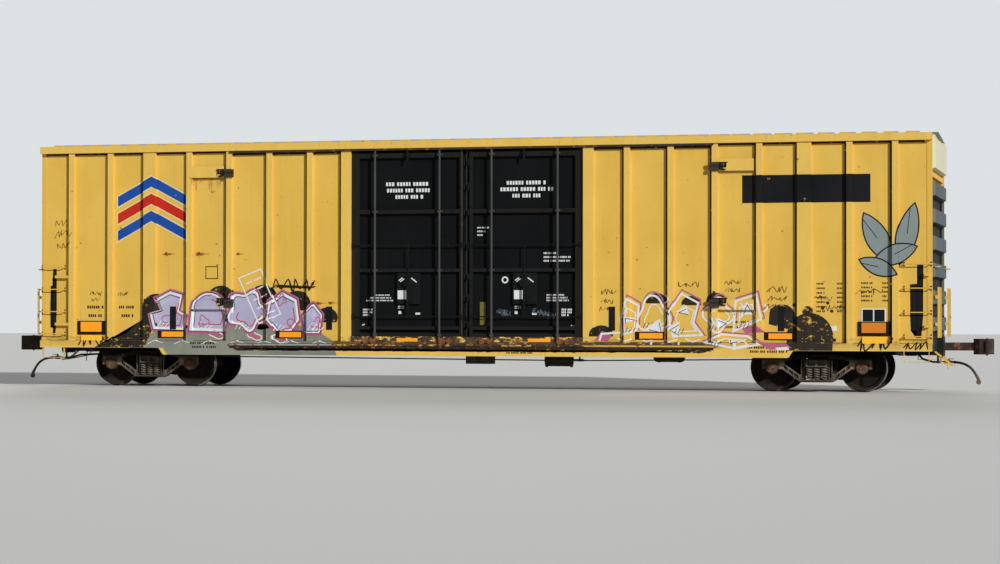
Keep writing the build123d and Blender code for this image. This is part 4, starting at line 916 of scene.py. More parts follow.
@dataclass
class Studio:
    """Pale floor, soft key and fill, and the camera at the photograph's place.

    Attributes:
        eye: Where the camera stands.
        yaw: Its turn to the left, in degrees.
        pitch: How far it looks up.
        roll: How far it leans.
        focal: Its focal length in pixels of the photograph.
        key: Strength of the key lamp.
        fill: Strength of the fill lamp.
        sky: Strength of the light from all round.
        floor: Radius of the floor.
    """

    eye: Point3 = (13.2736, -49.9733, 1.4745 + RAIL)
    yaw: float = 14.538
    pitch: float = 0.78
    roll: float = 0.079
    focal: float = 2478.06
    key: float = 3.95
    fill: float = 0.9
    sky: float = 0.08
    floor: float = 160.0

    def build(self) -> None:
        """Make the camera, lamps, world and floor."""
        self._camera()
        self._lamp("key", (0.697, -0.605, 0.384), self.key, 2.5)
        self._lamp("fill", (-0.25, 0.87, 0.42), self.fill, 25.0)
        self._world()
        self._floor()

    def _camera(self) -> None:
        """Set the camera from the photograph's measured view."""
        yaw, pitch, roll = (math.radians(a) for a in (self.yaw, self.pitch, self.roll))
        ahead = Vector((-math.sin(yaw) * math.cos(pitch), math.cos(yaw) * math.cos(pitch), math.sin(pitch)))
        right = ahead.cross(Vector((0, 0, 1))).normalized()
        up = right.cross(ahead)
        turned_right = right * math.cos(roll) + up * math.sin(roll)
        turned_up = up * math.cos(roll) - right * math.sin(roll)
        data = bpy.data.cameras.new("camera")
        data.sensor_fit = "HORIZONTAL"
        data.sensor_width = SENSOR
        data.lens = self.focal / PHOTO_WIDTH * SENSOR
        data.clip_end = 1000.0
        camera = bpy.data.objects.new("camera", data)
        frame = Matrix((turned_right, turned_up, -ahead)).transposed().to_4x4()
        camera.matrix_world = Matrix.Translation(self.eye) @ frame
        bpy.context.scene.collection.objects.link(camera)
        bpy.context.scene.camera = camera

    @staticmethod
    def _lamp(name: str, towards: Point3, strength: float, angle: float) -> None:
        """Add a distant lamp.

        Args:
            name: Its name.
            towards: Direction from the car to the lamp.
            strength: Its strength.
            angle: Its apparent size in degrees.
        """
        data = bpy.data.lights.new(name, "SUN")
        data.energy = strength
        data.angle = math.radians(angle)
        lamp = bpy.data.objects.new(name, data)
        lamp.rotation_euler = Vector(towards).to_track_quat("Z", "Y").to_euler()
        bpy.context.scene.collection.objects.link(lamp)

    def _world(self) -> None:
        """Even light from all round, which the camera sees as a pale backdrop."""
        world = bpy.data.worlds.new("studio")
        bpy.context.scene.world = world
        world.use_nodes = True
        world.node_tree.nodes.clear()
        graph = Graph(world.node_tree)
        rays = graph.node("ShaderNodeLightPath")
        seen = graph.math("MAXIMUM", rays.outputs["Is Camera Ray"], rays.outputs["Is Glossy Ray"])
        light = graph.node("ShaderNodeBackground", {"Color": (0.93, 0.96, 1.0), "Strength": self.sky})
        shown = graph.node("ShaderNodeBackground", {"Color": (0.8, 0.84, 0.87), "Strength": 0.9})
        mixed = graph.node("ShaderNodeMixShader", {0: seen, 1: light.outputs[0], 2: shown.outputs[0]})
        graph.put(graph.node("ShaderNodeOutputWorld").inputs["Surface"], mixed.outputs[0])

    def _floor(self) -> None:
        """Lay the floor just under the wheels."""
        mesh = bpy.data.meshes.new("floor_plane")
        made = bmesh.new()
        bmesh.ops.create_circle(made, cap_ends=True, segments=96, radius=self.floor)
        made.to_mesh(mesh)
        made.free()
        material = bpy.data.materials.new("pale floor")
        material.use_nodes = True
        shader = material.node_tree.nodes["Principled BSDF"]
        shader.inputs["Base Color"].default_value = (0.62, 0.62, 0.6, 1.0)
        shader.inputs["Roughness"].default_value = 0.9
        mesh.materials.append(material)
        floor = bpy.data.objects.new("floor_plane", mesh)
        bpy.context.scene.collection.objects.link(floor)


# ---- CAD finishes


@dataclass
class CadFinishes:
    """Gives each CAD node its slot's material."""

    shop: Workshop

    ROLES = (
        ("door_black", ("door_near_", "door_far_")),
        ("door_hardware", ("door_rods", "door_locks")),
        ("track_rust", ("door_tracks",)),
        ("roof_metal", ("roof",)),
        ("body_yellow", ("side_wall", "side_sills", "top_chords", "door_stops")),
        ("end_black", ("end_wall", "end_sills")),
        ("safety_yellow", ("side_ladders", "end_ladders", "sill_steps", "brake_step", "cut_levers")),
        ("underframe_steel", ("center_sill", "body_bolsters", "cross_bearers", "floor", "yokes")),
        (
            "brake_gear",
            ("air_reservoir", "brake_cylinder", "control_valve", "brake_pipe", "brake_rigging", "hand_brake"),
        ),
        ("cast_gear", ("coupler_", "knuckle_", "gladhands")),
        ("hose_rubber", ("air_hose_",)),
        ("axle_steel", ("axle_",)),
        ("wheel_steel", ("wheels_",)),
    )
    TRUCK_ROLES = (("springs", "spring_steel"), ("bearings", "bearing_steel"), ("brakes", "truck_casting"))

    def slot_of(self, node: str) -> str:
        """Slot of a node.

        Args:
            node: The node's name.

        Returns:
            The record's slot.
        """
        if node.startswith("truck_"):
            return next((slot for end, slot in self.TRUCK_ROLES if node.endswith(end)), "truck_casting")
        return next((slot for slot, starts in self.ROLES if node.startswith(starts)), "underframe_steel")

    def dress(self, nodes: dict[str, Object]) -> None:
        """Set the materials.

        Args:
            nodes: The CAD nodes by name.
        """
        for name, node in nodes.items():
            slot = self.slot_of(name)
            node.data.materials.clear()
            special = self.shop.lock_paint if name == "door_locks" else self.shop.materials[slot]
            node.data.materials.append(special)
            LOG.info("%s takes %s", name, slot)


# ---- air hoses


@dataclass
class AirHoses:
    """The two hoses that hang from the angle cocks, each with its coupling."""

    shop: Workshop
    nipple: Point3 = (9.61, 0.33, 0.56 + RAIL)
    drops: tuple[Point, ...] = ((0.15, -0.012), (0.29, -0.07), (0.4, -0.17), (0.47, -0.3))
    radius: float = 0.025
    length: float = 0.595

    def route(self, side: int) -> list[Point3]:
        """Route of one hose.

        Args:
            side: 1 at the A end, -1 at the B end.

        Returns:
            Its control points.
        """
        x, y, z = self.nipple
        points = [self.nipple] + [(x + dx, y - 0.05 * dx, z + dz) for dx, dz in self.drops]
        return [(side * px, side * py, pz) for px, py, pz in points]

    def _curve(self, name: str, points: Points3) -> Object:
        """Smooth round hose along a route.

        Args:
            name: Its name.
            points: The route's control points.

        Returns:
            The curve object.
        """
        data = bpy.data.curves.new(name, "CURVE")
        data.dimensions = "3D"
        spline = data.splines.new("NURBS")
        spline.points.add(len(points) - 1)
        for target, point in zip(spline.points, points):
            target.co = (*point, 1.0)
        spline.order_u = 3
        spline.use_endpoint_u = True
        spline.resolution_u = 12
        data.bevel_depth = self.radius
        data.bevel_resolution = 4
        data.use_fill_caps = True
        made = bpy.data.objects.new(name, data)
        bpy.context.scene.collection.objects.link(made)
        data.materials.append(self.shop.materials["hose_rubber"])
        return made

    def build(self) -> None:
        """Make both hoses."""
        for end, side in (("a", 1), ("b", -1)):
            points = self.route(side)
            hose = self._curve(f"hose_{end}", points)
            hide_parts(f"air_hose_{end}")
            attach(hose, "car")
            grip = self._coupling(end, points)
            clamps = self._clamps(end, points)
            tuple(points[0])
            LOG.info("hose_%s laid", end)

    def _clamps(self, end: str, points: Points3) -> Object:
        """Band clamps at both ends of a hose.

        Args:
            end: Letter of the end.
            points: The hose's route.

        Returns:
            The clamps.
        """
        made = bmesh.new()
        for first, second in ((points[0], points[1]), (points[-1], points[-2])):
            start, towards = Vector(first), Vector(second) - Vector(first)
            towards.normalize()
            profile = [(0.012, 0.02), (0.012, 0.031), (0.036, 0.031), (0.036, 0.02)]
            add_turning(made, profile, tuple(start), tuple(towards))
            lug = start + towards * 0.024 + Vector((0, 0.034, 0))
            add_bar(made, tuple(lug - Vector((0.008, 0.008, 0.009))), tuple(lug + Vector((0.008, 0.008, 0.009))))
        return self.shop.from_bmesh(f"hose_clamps_{end}", made, "cast_gear")

    def _coupling(self, end: str, points: Points3) -> Object:
        """Cast coupling: collar, curved body, open face with its seal ring, and locking lug.

        Args:
            end: Letter of the end.
            points: The hose's route.

        Returns:
            The coupling.
        """
        tip = Vector(points[-1])
        heading = (tip - Vector(points[-2])).normalized()
        side = 1.0 if points[-1][0] > 0 else -1.0
        made = bmesh.new()
        collar = [(-0.004, 0.01), (-0.004, 0.03), (0.012, 0.033), (0.05, 0.03), (0.068, 0.026), (0.07, 0.01)]
        add_turning(made, collar, tuple(tip), tuple(heading))
        cup = tip + Vector((side * 0.025, 0, -0.095))
        body = [
            (-0.022, 0.018), (-0.022, 0.044), (-0.012, 0.05), (0.012, 0.05), (0.02, 0.042),
            (0.02, 0.03), (0.014, 0.026), (0.014, 0.008),
        ]
        add_turning(made, body, tuple(cup), (0, side, 0), 28)
        lug = ((-0.02, -0.03), (0.015, -0.04), (0.042, -0.026), (0.046, 0.0), (0.03, 0.02))
        add_prism(made, [(cup.x + side * dx, cup.z + dz) for dx, dz in lug], cup.y - 0.016, cup.y + 0.01)
        coupling = self.shop.from_bmesh(f"coupling_{end}", made, "cast_gear")
        if end == "a":
            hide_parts("gladhands")
        return coupling


# ---- geometry trees


class GrowthTrees:
    """Geometry trees for what repeats: bolt heads, rivets and coil springs."""

    def __init__(self) -> None:
        """Build the trees."""
        self.bolts = self._heads("bolt heads", hexagonal=True)
        self.rivets = self._heads("rivet heads", hexagonal=False)
        self.coils = self._coils()

    @staticmethod
    def _open(name: str, *numbers: str) -> Group:
        """Start a tree that reads some numbers."""
        reads = {"Geometry": "Geometry", **dict.fromkeys(numbers, "Float"), "Material": "Material"}
        return Group("Geometry", name, reads, {"Geometry": "Geometry"})

    @staticmethod
    def _close(graph: Group, shape: Socket, turn: dict[str, Socket]) -> Tree:
        """End a tree in real geometry: a shape at every point, with its material.

        Args:
            graph: The tree's graph.
            shape: The shape.
            turn: Rotation of the instances, if any.

        Returns:
            The tree.
        """
        feeds = {"Points": graph.read("Geometry"), "Instance": shape, **turn}
        spread = graph.node("GeometryNodeInstanceOnPoints", feeds)
        real = graph.node("GeometryNodeRealizeInstances", {"Geometry": spread.outputs[0]})
        feeds = {"Geometry": real.outputs[0], "Material": graph.read("Material")}
        graph.give("Geometry", graph.node("GeometryNodeSetMaterial", feeds).outputs[0])
        return graph.tree

    def _heads(self, name: str, hexagonal: bool) -> Tree:
        """Heads at every point of a mesh, turned to the point's facing attribute.

        Args:
            name: The tree's name.
            hexagonal: Bolt heads with a washer, instead of round rivets.

        Returns:
            The tree.
        """
        graph = self._open(name, "Radius", "Height")
        radius, height = graph.read("Radius"), graph.read("Height")
        if hexagonal:
            joined = graph.node("GeometryNodeJoinGeometry")
            for sides, wide, deep, lift in ((6, 1.0, 1.0, 0.8), (10, 1.45, 0.5, 0.1)):
                size = {"Vertices": sides, "Radius": graph.times(radius, wide), "Depth": graph.times(height, deep)}
                disc = graph.node("GeometryNodeMeshCylinder", size, fill_type="NGON").outputs["Mesh"]
                rise = graph.node("ShaderNodeCombineXYZ", {"Z": graph.times(height, lift)}).outputs[0]
                lifted = graph.node("GeometryNodeTransform", {"Geometry": disc, "Translation": rise})
                graph.put(joined.inputs[0], lifted.outputs[0])
            shape = joined.outputs[0]
        else:
            dome = graph.node("GeometryNodeMeshUVSphere", {"Segments": 8, "Rings": 4, "Radius": radius}).outputs["Mesh"]
            flat = graph.node("ShaderNodeCombineXYZ", {"X": 1.0, "Y": 1.0, "Z": graph.math("DIVIDE", height, radius)})
            shape = graph.node("GeometryNodeTransform", {"Geometry": dome, "Scale": flat.outputs[0]}).outputs[0]
        facing = graph.node("GeometryNodeInputNamedAttribute", {"Name": "facing"}, data_type="FLOAT_VECTOR")
        turn = graph.node("FunctionNodeAlignRotationToVector", {"Vector": facing.outputs[0]}, axis="Z")
        return self._close(graph, shape, {"Rotation": turn.outputs[0]})

    def _coils(self) -> Tree:
        """A coil spring standing at every point of a mesh.

        Returns:
            The tree.
        """
        graph = self._open("coil springs", "Wire", "Coil radius", "Height", "Turns")
        size = {"Start Radius": graph.read("Coil radius"), "End Radius": graph.read("Coil radius")}
        size.update({"Height": graph.read("Height"), "Rotations": graph.read("Turns"), "Resolution": 14})
        spiral = graph.node("GeometryNodeCurveSpiral", size)
        wire = graph.node("GeometryNodeCurvePrimitiveCircle", {"Resolution": 7, "Radius": graph.read("Wire")})
        feeds = {"Curve": spiral.outputs[0], "Profile Curve": wire.outputs[0], "Fill Caps": True}
        return self._close(graph, graph.node("GeometryNodeCurveToMesh", feeds).outputs[0], {})


def seed(points: Points3, facing: Points3 | Point3) -> Mesh:
    """Loose points with the direction that each one faces.

    Args:
        points: The points.
        facing: One direction for all, or one for each.

    Returns:
        A mesh of points.
    """
    mesh = bpy.data.meshes.new("seed")
    mesh.from_pydata([tuple(p) for p in points], [], [])
    each = [facing] * len(points) if facing and isinstance(facing[0], (int, float)) else facing
    attribute = mesh.attributes.new("facing", "FLOAT_VECTOR", "POINT")
    attribute.data.foreach_set("vector", [c for direction in each for c in direction])
    return mesh


@dataclass
class TruckSprings:
    """Open coil springs in the spring nests of both trucks."""

    shop: Workshop
    trees: GrowthTrees
    pitch: float = 0.148
    journal_y: float = 1.0033
    seat: float = 0.215 + RAIL
    height: float = 0.26

    def build(self) -> None:
        """Stand the springs in the nests."""
        for end, side in (("a", 1), ("b", -1)):
            places = []
            for wing in (-1, 1):
                for x in (-self.pitch, 0.0, self.pitch):
                    for y in (-self.pitch / 2, self.pitch / 2):
                        places.append((side * TRUCK_X + x, wing * self.journal_y + y, self.seat + 0.014))
            for name, wire, radius, turns in (("coil", 0.0125, 0.0555, 5.0), ("inner", 0.008, 0.03, 7.5)):
                values = {"Wire": wire, "Coil radius": radius, "Height": self.height - 0.027, "Turns": turns}
                nests = seed(places, (0, 0, 1))
                label, body = f"{name}_springs_{end}", f"truck_{end}"
                self.shop.grown(label, nests, self.trees.coils, values, "spring_steel", body, smooth=True)
            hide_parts(f"truck_{end}_springs")


# ---- painted marks


# Bottom of the sill at the ends and between the trucks, where it drops, and the slopes' lower edges in steps.
SILL_LOW = 0.8206
SILL_DROP = 0.6806
SILL_DROP_X = 6.47
SLOPE_STEPS = (0.69, 0.716, 0.752, 0.79)
# Bottom and top of the plates of the door stops.
STOP_PLATES = ((1.6256, 1.8252), (4.3656, 4.6052))


def wall_bands() -> list[tuple[float, float, float]]:
    """Upright bands of a side wall: start, end and depth of the sheet or post face there.

    Returns:
        The bands from one end of the car to the other, without the doors.
    """
    raised = [(*DOOR_POST, POST_Y)]
    for number, x in enumerate(POSTS):
        half = 0.14 if number == 4 else 0.06
        raised.append((x - half, x + half, POST_Y))
    raised.append((HALF - 0.1, HALF, CORNER_Y))
    bands = []
    edge = DOOR_POST[0]
    for start, stop, depth in raised:
        if start > edge:
            bands.append((edge, start, SHEET_Y))
        bands.append((start, stop, depth))
        edge = stop
    return [(-stop, -start, depth) for start, stop, depth in reversed(bands)] + bands


def wall_zones() -> list[tuple[float, float, float, float, float]]:
    """Flat faces of a side: start, end, depth, bottom and top of each.

    Returns:
        Sheets and posts, the sill with its drop and the slopes of that, and the plates of the stops.
    """
    zones = [(*band, SILL_TOP, CHORD_BOTTOM) for band in wall_bands()]
    zones.append((-HALF, HALF, POST_Y, SILL_LOW, SILL_TOP))
    zones.append((0.02 - SILL_DROP_X, SILL_DROP_X - 0.02, POST_Y, SILL_DROP, SILL_LOW))
    plates = [(POSTS[2] + 0.061, POSTS[3] - 0.061, *heights) for heights in STOP_PLATES]
    slopes = []
    for i, low in enumerate(SLOPE_STEPS):
        slopes.append((SILL_DROP_X - 0.02 + 0.025 * i, SILL_DROP_X + 0.005 + 0.025 * i, low, SILL_LOW))
    for faces in [[plate] for plate in plates] + [slopes]:
        for sign in (-1, 1):
            for x0, x1, bottom, top in faces:
                zones.append((*sorted((sign * x0, sign * x1)), POST_Y, bottom, top))
    return zones


@dataclass
class PaintFilm:
    """Thin coats of paint on one side of the car, which follow its posts and panels."""

    side: Side
    mesh: BMesh = field(default_factory=bmesh.new)
    count: int = 0

    def _lift(self, layer: int) -> float:
        """Height of the next shape, a hair apart from the last one so that no two lie in one plane.

        Args:
            layer: Which coat it is.

        Returns:
            The height above the metal.
        """
        self.count += 1
        return 0.0006 * layer + 0.000012 * (self.count % 40)

    def _face(self, corners: Points3, outward: Point3) -> None:
        """Add a face that looks outwards.

        Args:
            corners: Its corners, with Y as the distance from the centre line.
            outward: Direction it has to face.
        """
        face = self.mesh.faces.new([self.mesh.verts.new(self.side.at(*corner)) for corner in corners])
        face.normal_update()
        if face.normal.dot(Vector(outward)) < 0:
            face.normal_flip()

    def wall(self, outline: Points, layer: int = 1) -> None:
        """Paint an outline on the side wall, over its panels, posts and their edges.

        Args:
            outline: Its (x, z) points.
            layer: Which coat it is, from the metal out.
        """
        lift = self._lift(layer)
        low, high = min(x for x, _ in outline), max(x for x, _ in outline)
        for start, stop, depth, bottom, top in wall_zones():
            if stop <= low or start >= high:
                continue
            cut = bmesh.new()
            cut.faces.new([cut.verts.new((x, 0, z)) for x, z in outline])
            if len(outline) > 4:
                bmesh.ops.triangulate(cut, faces=cut.faces[:])
            for place, normal in (
                ((start, 0, 0), (-1, 0, 0)), ((stop, 0, 0), (1, 0, 0)), ((0, 0, bottom), (0, 0, -1)),
                ((0, 0, top), (0, 0, 1)),
            ):
                parts = cut.verts[:] + cut.edges[:] + cut.faces[:]
                bmesh.ops.bisect_plane(cut, geom=parts, plane_co=place, plane_no=normal, clear_outer=True)
            for face in cut.faces:
                self._face([(v.co.x, depth + lift, v.co.z) for v in face.verts], self.side.outward)
            if (bottom, top) == (SILL_TOP, CHORD_BOTTOM) and depth == POST_Y:
                for edge in cut.edges:
                    first, second = (v.co for v in edge.verts)
                    for flank, out in ((start, -1), (stop, 1)):
                        if abs(flank) < HALF - 0.01 and max(abs(first.x - flank), abs(second.x - flank)) < 1e-5:
                            x, inner, outer = flank + out * lift, SHEET_Y + lift, POST_Y + lift
                            corners = (
                                (x, inner, first.z), (x, outer, first.z), (x, outer, second.z), (x, inner, second.z),
                            )
                            self._face(corners, (out * self.side.value, 0, 0))
            cut.free()

    def paint(self, outline: Points, depth: float | None, layer: int) -> None:
        """Paint an outline on a flat face or on the side wall.

        Args:
            outline: Its (x, z) points.
            depth: Depth of a flat face, or None for the side wall.
            layer: Which coat it is.
        """
        if depth is None:
            self.wall(outline, layer)
        else:
            lift = self._lift(layer)
            self._face([(x, depth + lift, z) for x, z in outline], self.side.outward)

    def stroke(self, points: Points, width: float, layer: int = 1, depth: float | None = None) -> None:
        """Paint a line of even width with mitred corners.

        Args:
            points: Its (x, z) points; a line that ends where it starts is closed.
            width: Its width.
            layer: Which coat it is.
            depth: Depth of a flat face, or None for the side wall.
        """
        line = [Vector(point) for point in points]
        closed = (line[0] - line[-1]).length < 1e-6
        if closed:
            line = line[:-1]
        number = len(line)
        offsets = []
        for i, point in enumerate(line):
            before = point - line[i - 1] if closed or i > 0 else line[1] - point
            after = line[(i + 1) % number] - point if closed or i < number - 1 else before
            first, second = before.normalized(), after.normalized()
            normal = Vector((-first.y - second.y, first.x + second.x))
            normal = normal.normalized() if normal.length > 1e-3 else Vector((-first.y, first.x))
            reach = min(1.0 / max(normal.dot(Vector((-first.y, first.x))), 0.4), 2.5)
            offsets.append(normal * reach * width / 2)
        for i in range(number if closed else number - 1):
            j = (i + 1) % number
            quad = (line[i] - offsets[i], line[j] - offsets[j], line[j] + offsets[j], line[i] + offsets[i])
            self.paint([tuple(corner) for corner in quad], depth, layer)

    def bar(self, x0: float, x1: float, z0: float, z1: float, depth: float | None = None, layer: int = 1) -> None:
        """Paint an upright rectangle.

        Args:
            x0: Its start.
            x1: Its end.
            z0: Its bottom.
            z1: Its top.
            depth: Depth of a flat face, or None for the side wall.
            layer: Which coat it is.
        """
        self.paint([(x0, z0), (x1, z0), (x1, z1), (x0, z1)], depth, layer)

    def blocks(self, x0: float, x1: float, z: float, height: float, number: int, depth: float | None = None) -> None:
        """Paint a row of small plain blocks in groups, which stands for a worn stencil.

        Args:
            x0: Where the row starts.
            x1: Where it ends.
            z: Its bottom.
            height: Height of the blocks.
            number: Seed of its spacing.
            depth: Depth of a flat face, or None for the side wall.
        """
        chance = random.Random(number)
        x = x0
        while x < x1:
            for _ in range(chance.randint(3, 6)):
                wide = height * chance.uniform(0.45, 0.7)
                if x + wide > x1:
                    break
                self.bar(x, x + wide, z, z + height, depth)
                x += wide + height * 0.24
            x += height * 0.55


def arc(centre: Point, radius: float, first: float, last: float, steps: int = 12, stretch: float = 1.0) -> list[Point]:
    """Points on part of a circle.

    Args:
        centre: Its middle.
        radius: Its radius.
        first: First angle in degrees.
        last: Last angle in degrees.
        steps: Number of runs.
        stretch: Height over width.

    Returns:
        The points.
    """
    angles = [math.radians(first + (last - first) * i / steps) for i in range(steps + 1)]
    return [(centre[0] + radius * math.cos(a), centre[1] + stretch * radius * math.sin(a)) for a in angles]


def lobes(
    centre: Point, radius: float, number: int, depth: float, turn: float = 0.0, stretch: float = 1.0,
) -> list[Point]:
    """Closed outline that swells and shrinks round a circle.

    Args:
        centre: Its middle.
        radius: Its mean radius.
        number: Number of swellings.
        depth: How far they swell, as a share of the radius.
        turn: Angle of the first one in degrees.
        stretch: Height over width.

    Returns:
        The points, with the first one again at the end.
    """
    points = []
    for i in range(41):
        angle = math.tau * (i % 40) / 40
        reach = radius * (1 + depth * math.cos(number * angle + math.radians(turn)))
        points.append((centre[0] + reach * math.cos(angle), centre[1] + stretch * reach * math.sin(angle)))
    return points


def resized(outline: Points, factor: float, shift: Point = (0.0, 0.0)) -> list[Point]:
    """Outline scaled about its middle and moved.

    Args:
        outline: Its points.
        factor: Scale.
        shift: Move along x and z.

    Returns:
        The points.
    """
    x = sum(p[0] for p in outline) / len(outline)
    z = sum(p[1] for p in outline) / len(outline)
    return [(x + factor * (px - x) + shift[0], z + factor * (pz - z) + shift[1]) for px, pz in outline]


def scrawl(start: Point, length: float, height: float, turns: int, number: int) -> list[Point]:
    """Restless pen line that means nothing.

    Args:
        start: Where it starts.
        length: How far it runs.
        height: Its height.
        turns: Number of turns.
        number: Seed of its course.

    Returns:
        The points.
    """
    chance = random.Random(number)
    last = turns * 2 + 1
    knots = []
    for i in range(last + 1):
        x = start[0] + length * (i / last + chance.uniform(-0.11, 0.11))
        knots.append((x, start[1] + height * chance.uniform(0.12, 0.5) * (1 if i % 2 else -1)))
    points = []
    for i in range(last):
        around = (knots[max(i - 1, 0)], knots[i], knots[i + 1], knots[min(i + 2, last)])
        for t in (0.0, 0.25, 0.5, 0.75):
            weights = (-t + 2 * t * t - t ** 3, 2 - 5 * t * t + 3 * t ** 3, t + 4 * t * t - 3 * t ** 3, t ** 3 - t * t)
            points.append(tuple(sum(w * knot[axis] for w, knot in zip(weights, around)) / 2 for axis in (0, 1)))
    return points + [knots[last]]


COATS = {
    "pale": SprayPaint(
        "pale edge paint", (0.72, 0.62, 0.33), (0.66, 0.52, 0.22), streaks=0.2, rust=0.12, cover=0.74,
        under=(0.64, 0.4, 0.07),
    ),
    "white": SprayPaint(
        "white stencil paint", (0.7, 0.72, 0.7), (0.6, 0.62, 0.6), streaks=0.3, rust=0.1, cover=0.72,
        under=(0.05, 0.05, 0.045),
    ),
    "black": SprayPaint(
        "black stencil paint", (0.006, 0.0065, 0.008), (0.016, 0.016, 0.016), dirt=(0.05, 0.04, 0.03), rust=0.15,
        gloss=0.08, cover=0.78,
    ),
    "blue": SprayPaint(
        "blue emblem paint", (0.01, 0.062, 0.31), (0.016, 0.08, 0.33), dirt=(0.05, 0.06, 0.12), streaks=0.15,
        rust=0.12, gloss=0.12, cover=0.76,
    ),
    "red": SprayPaint(
        "red emblem paint", (0.5, 0.02, 0.01), (0.46, 0.03, 0.014), dirt=(0.2, 0.05, 0.03), streaks=0.15, rust=0.12,
        gloss=0.12, cover=0.76,
    ),
    "lavender": SprayPaint(
        "pale lavender spray", (0.36, 0.34, 0.5), (0.47, 0.45, 0.58), dirt=(0.28, 0.26, 0.28), blotches=0.9, rust=0.12,
        cover=0.76, under=(0.3, 0.32, 0.3),
    ),
    "magenta": SprayPaint("magenta spray", (0.38, 0.085, 0.17), (0.46, 0.14, 0.23), rust=0.1, cover=0.7),
    "grey": SprayPaint(
        "grey spray", (0.17, 0.18, 0.145), (0.24, 0.25, 0.2), dirt=(0.12, 0.1, 0.07), blotches=0.9, rust=0.22,
        splash=0.3, cover=0.7, under=(0.4, 0.27, 0.06),
    ),
    "bluegrey": SprayPaint(
        "blue grey spray", (0.19, 0.235, 0.235), (0.27, 0.3, 0.29), dirt=(0.18, 0.16, 0.12), rust=0.12, cover=0.74,
    ),
    # Dark spray, also used for the painted shadow under the lower door track.
    "dark": SprayPaint(
        "dark spray and track shade", (0.012, 0.011, 0.01), (0.035, 0.028, 0.018), dirt=(0.1, 0.07, 0.04), blotches=0.8, rust=0.15,
        gloss=0.1, cover=0.61,
    ),
    "ink": SprayPaint("thin ink line", (0.045, 0.03, 0.012), (0.12, 0.08, 0.02), rust=0.1, gloss=0.1, cover=0.58),
    # Painted shade with some dirt, beside the posts, under the chord and at the panels' feet.
    "shade_and_grime": SprayPaint(
        "seam grime", (0.028, 0.017, 0.007), (0.055, 0.032, 0.011), rust=0.2, splash=0.3, gloss=0.1, cover=0.62,
    ),
    "stain": SprayPaint("rust stain", (0.47, 0.24, 0.038), (0.54, 0.3, 0.05), rust=0.22, cover=0.53),
    "chalk": SprayPaint(
        "faint chalk line", (0.11, 0.15, 0.19), (0.19, 0.24, 0.28), rust=0.05, splash=0.1, gloss=0.1, cover=0.58,
        under=(0.02, 0.02, 0.02),
    ),
    "navy": SprayPaint("navy line", (0.018, 0.018, 0.06), (0.03, 0.03, 0.08), rust=0.1, gloss=0.1, cover=0.68),
    "rust": SprayPaint("rust bloom", (0.16, 0.045, 0.012), (0.26, 0.09, 0.02), rust=0.45, cover=0.6),
}


Films = dict[tuple[str, Side], PaintFilm]


@dataclass
class Marks:
    """Marks of one side, painted into films that all marks share."""

    films: Films
    side: Side

    def coats(self, *names: str) -> list[PaintFilm]:
        """Films of some coats on this side, which are made at their first use."""
        return [self.films.setdefault((name, self.side), PaintFilm(self.side)) for name in names]


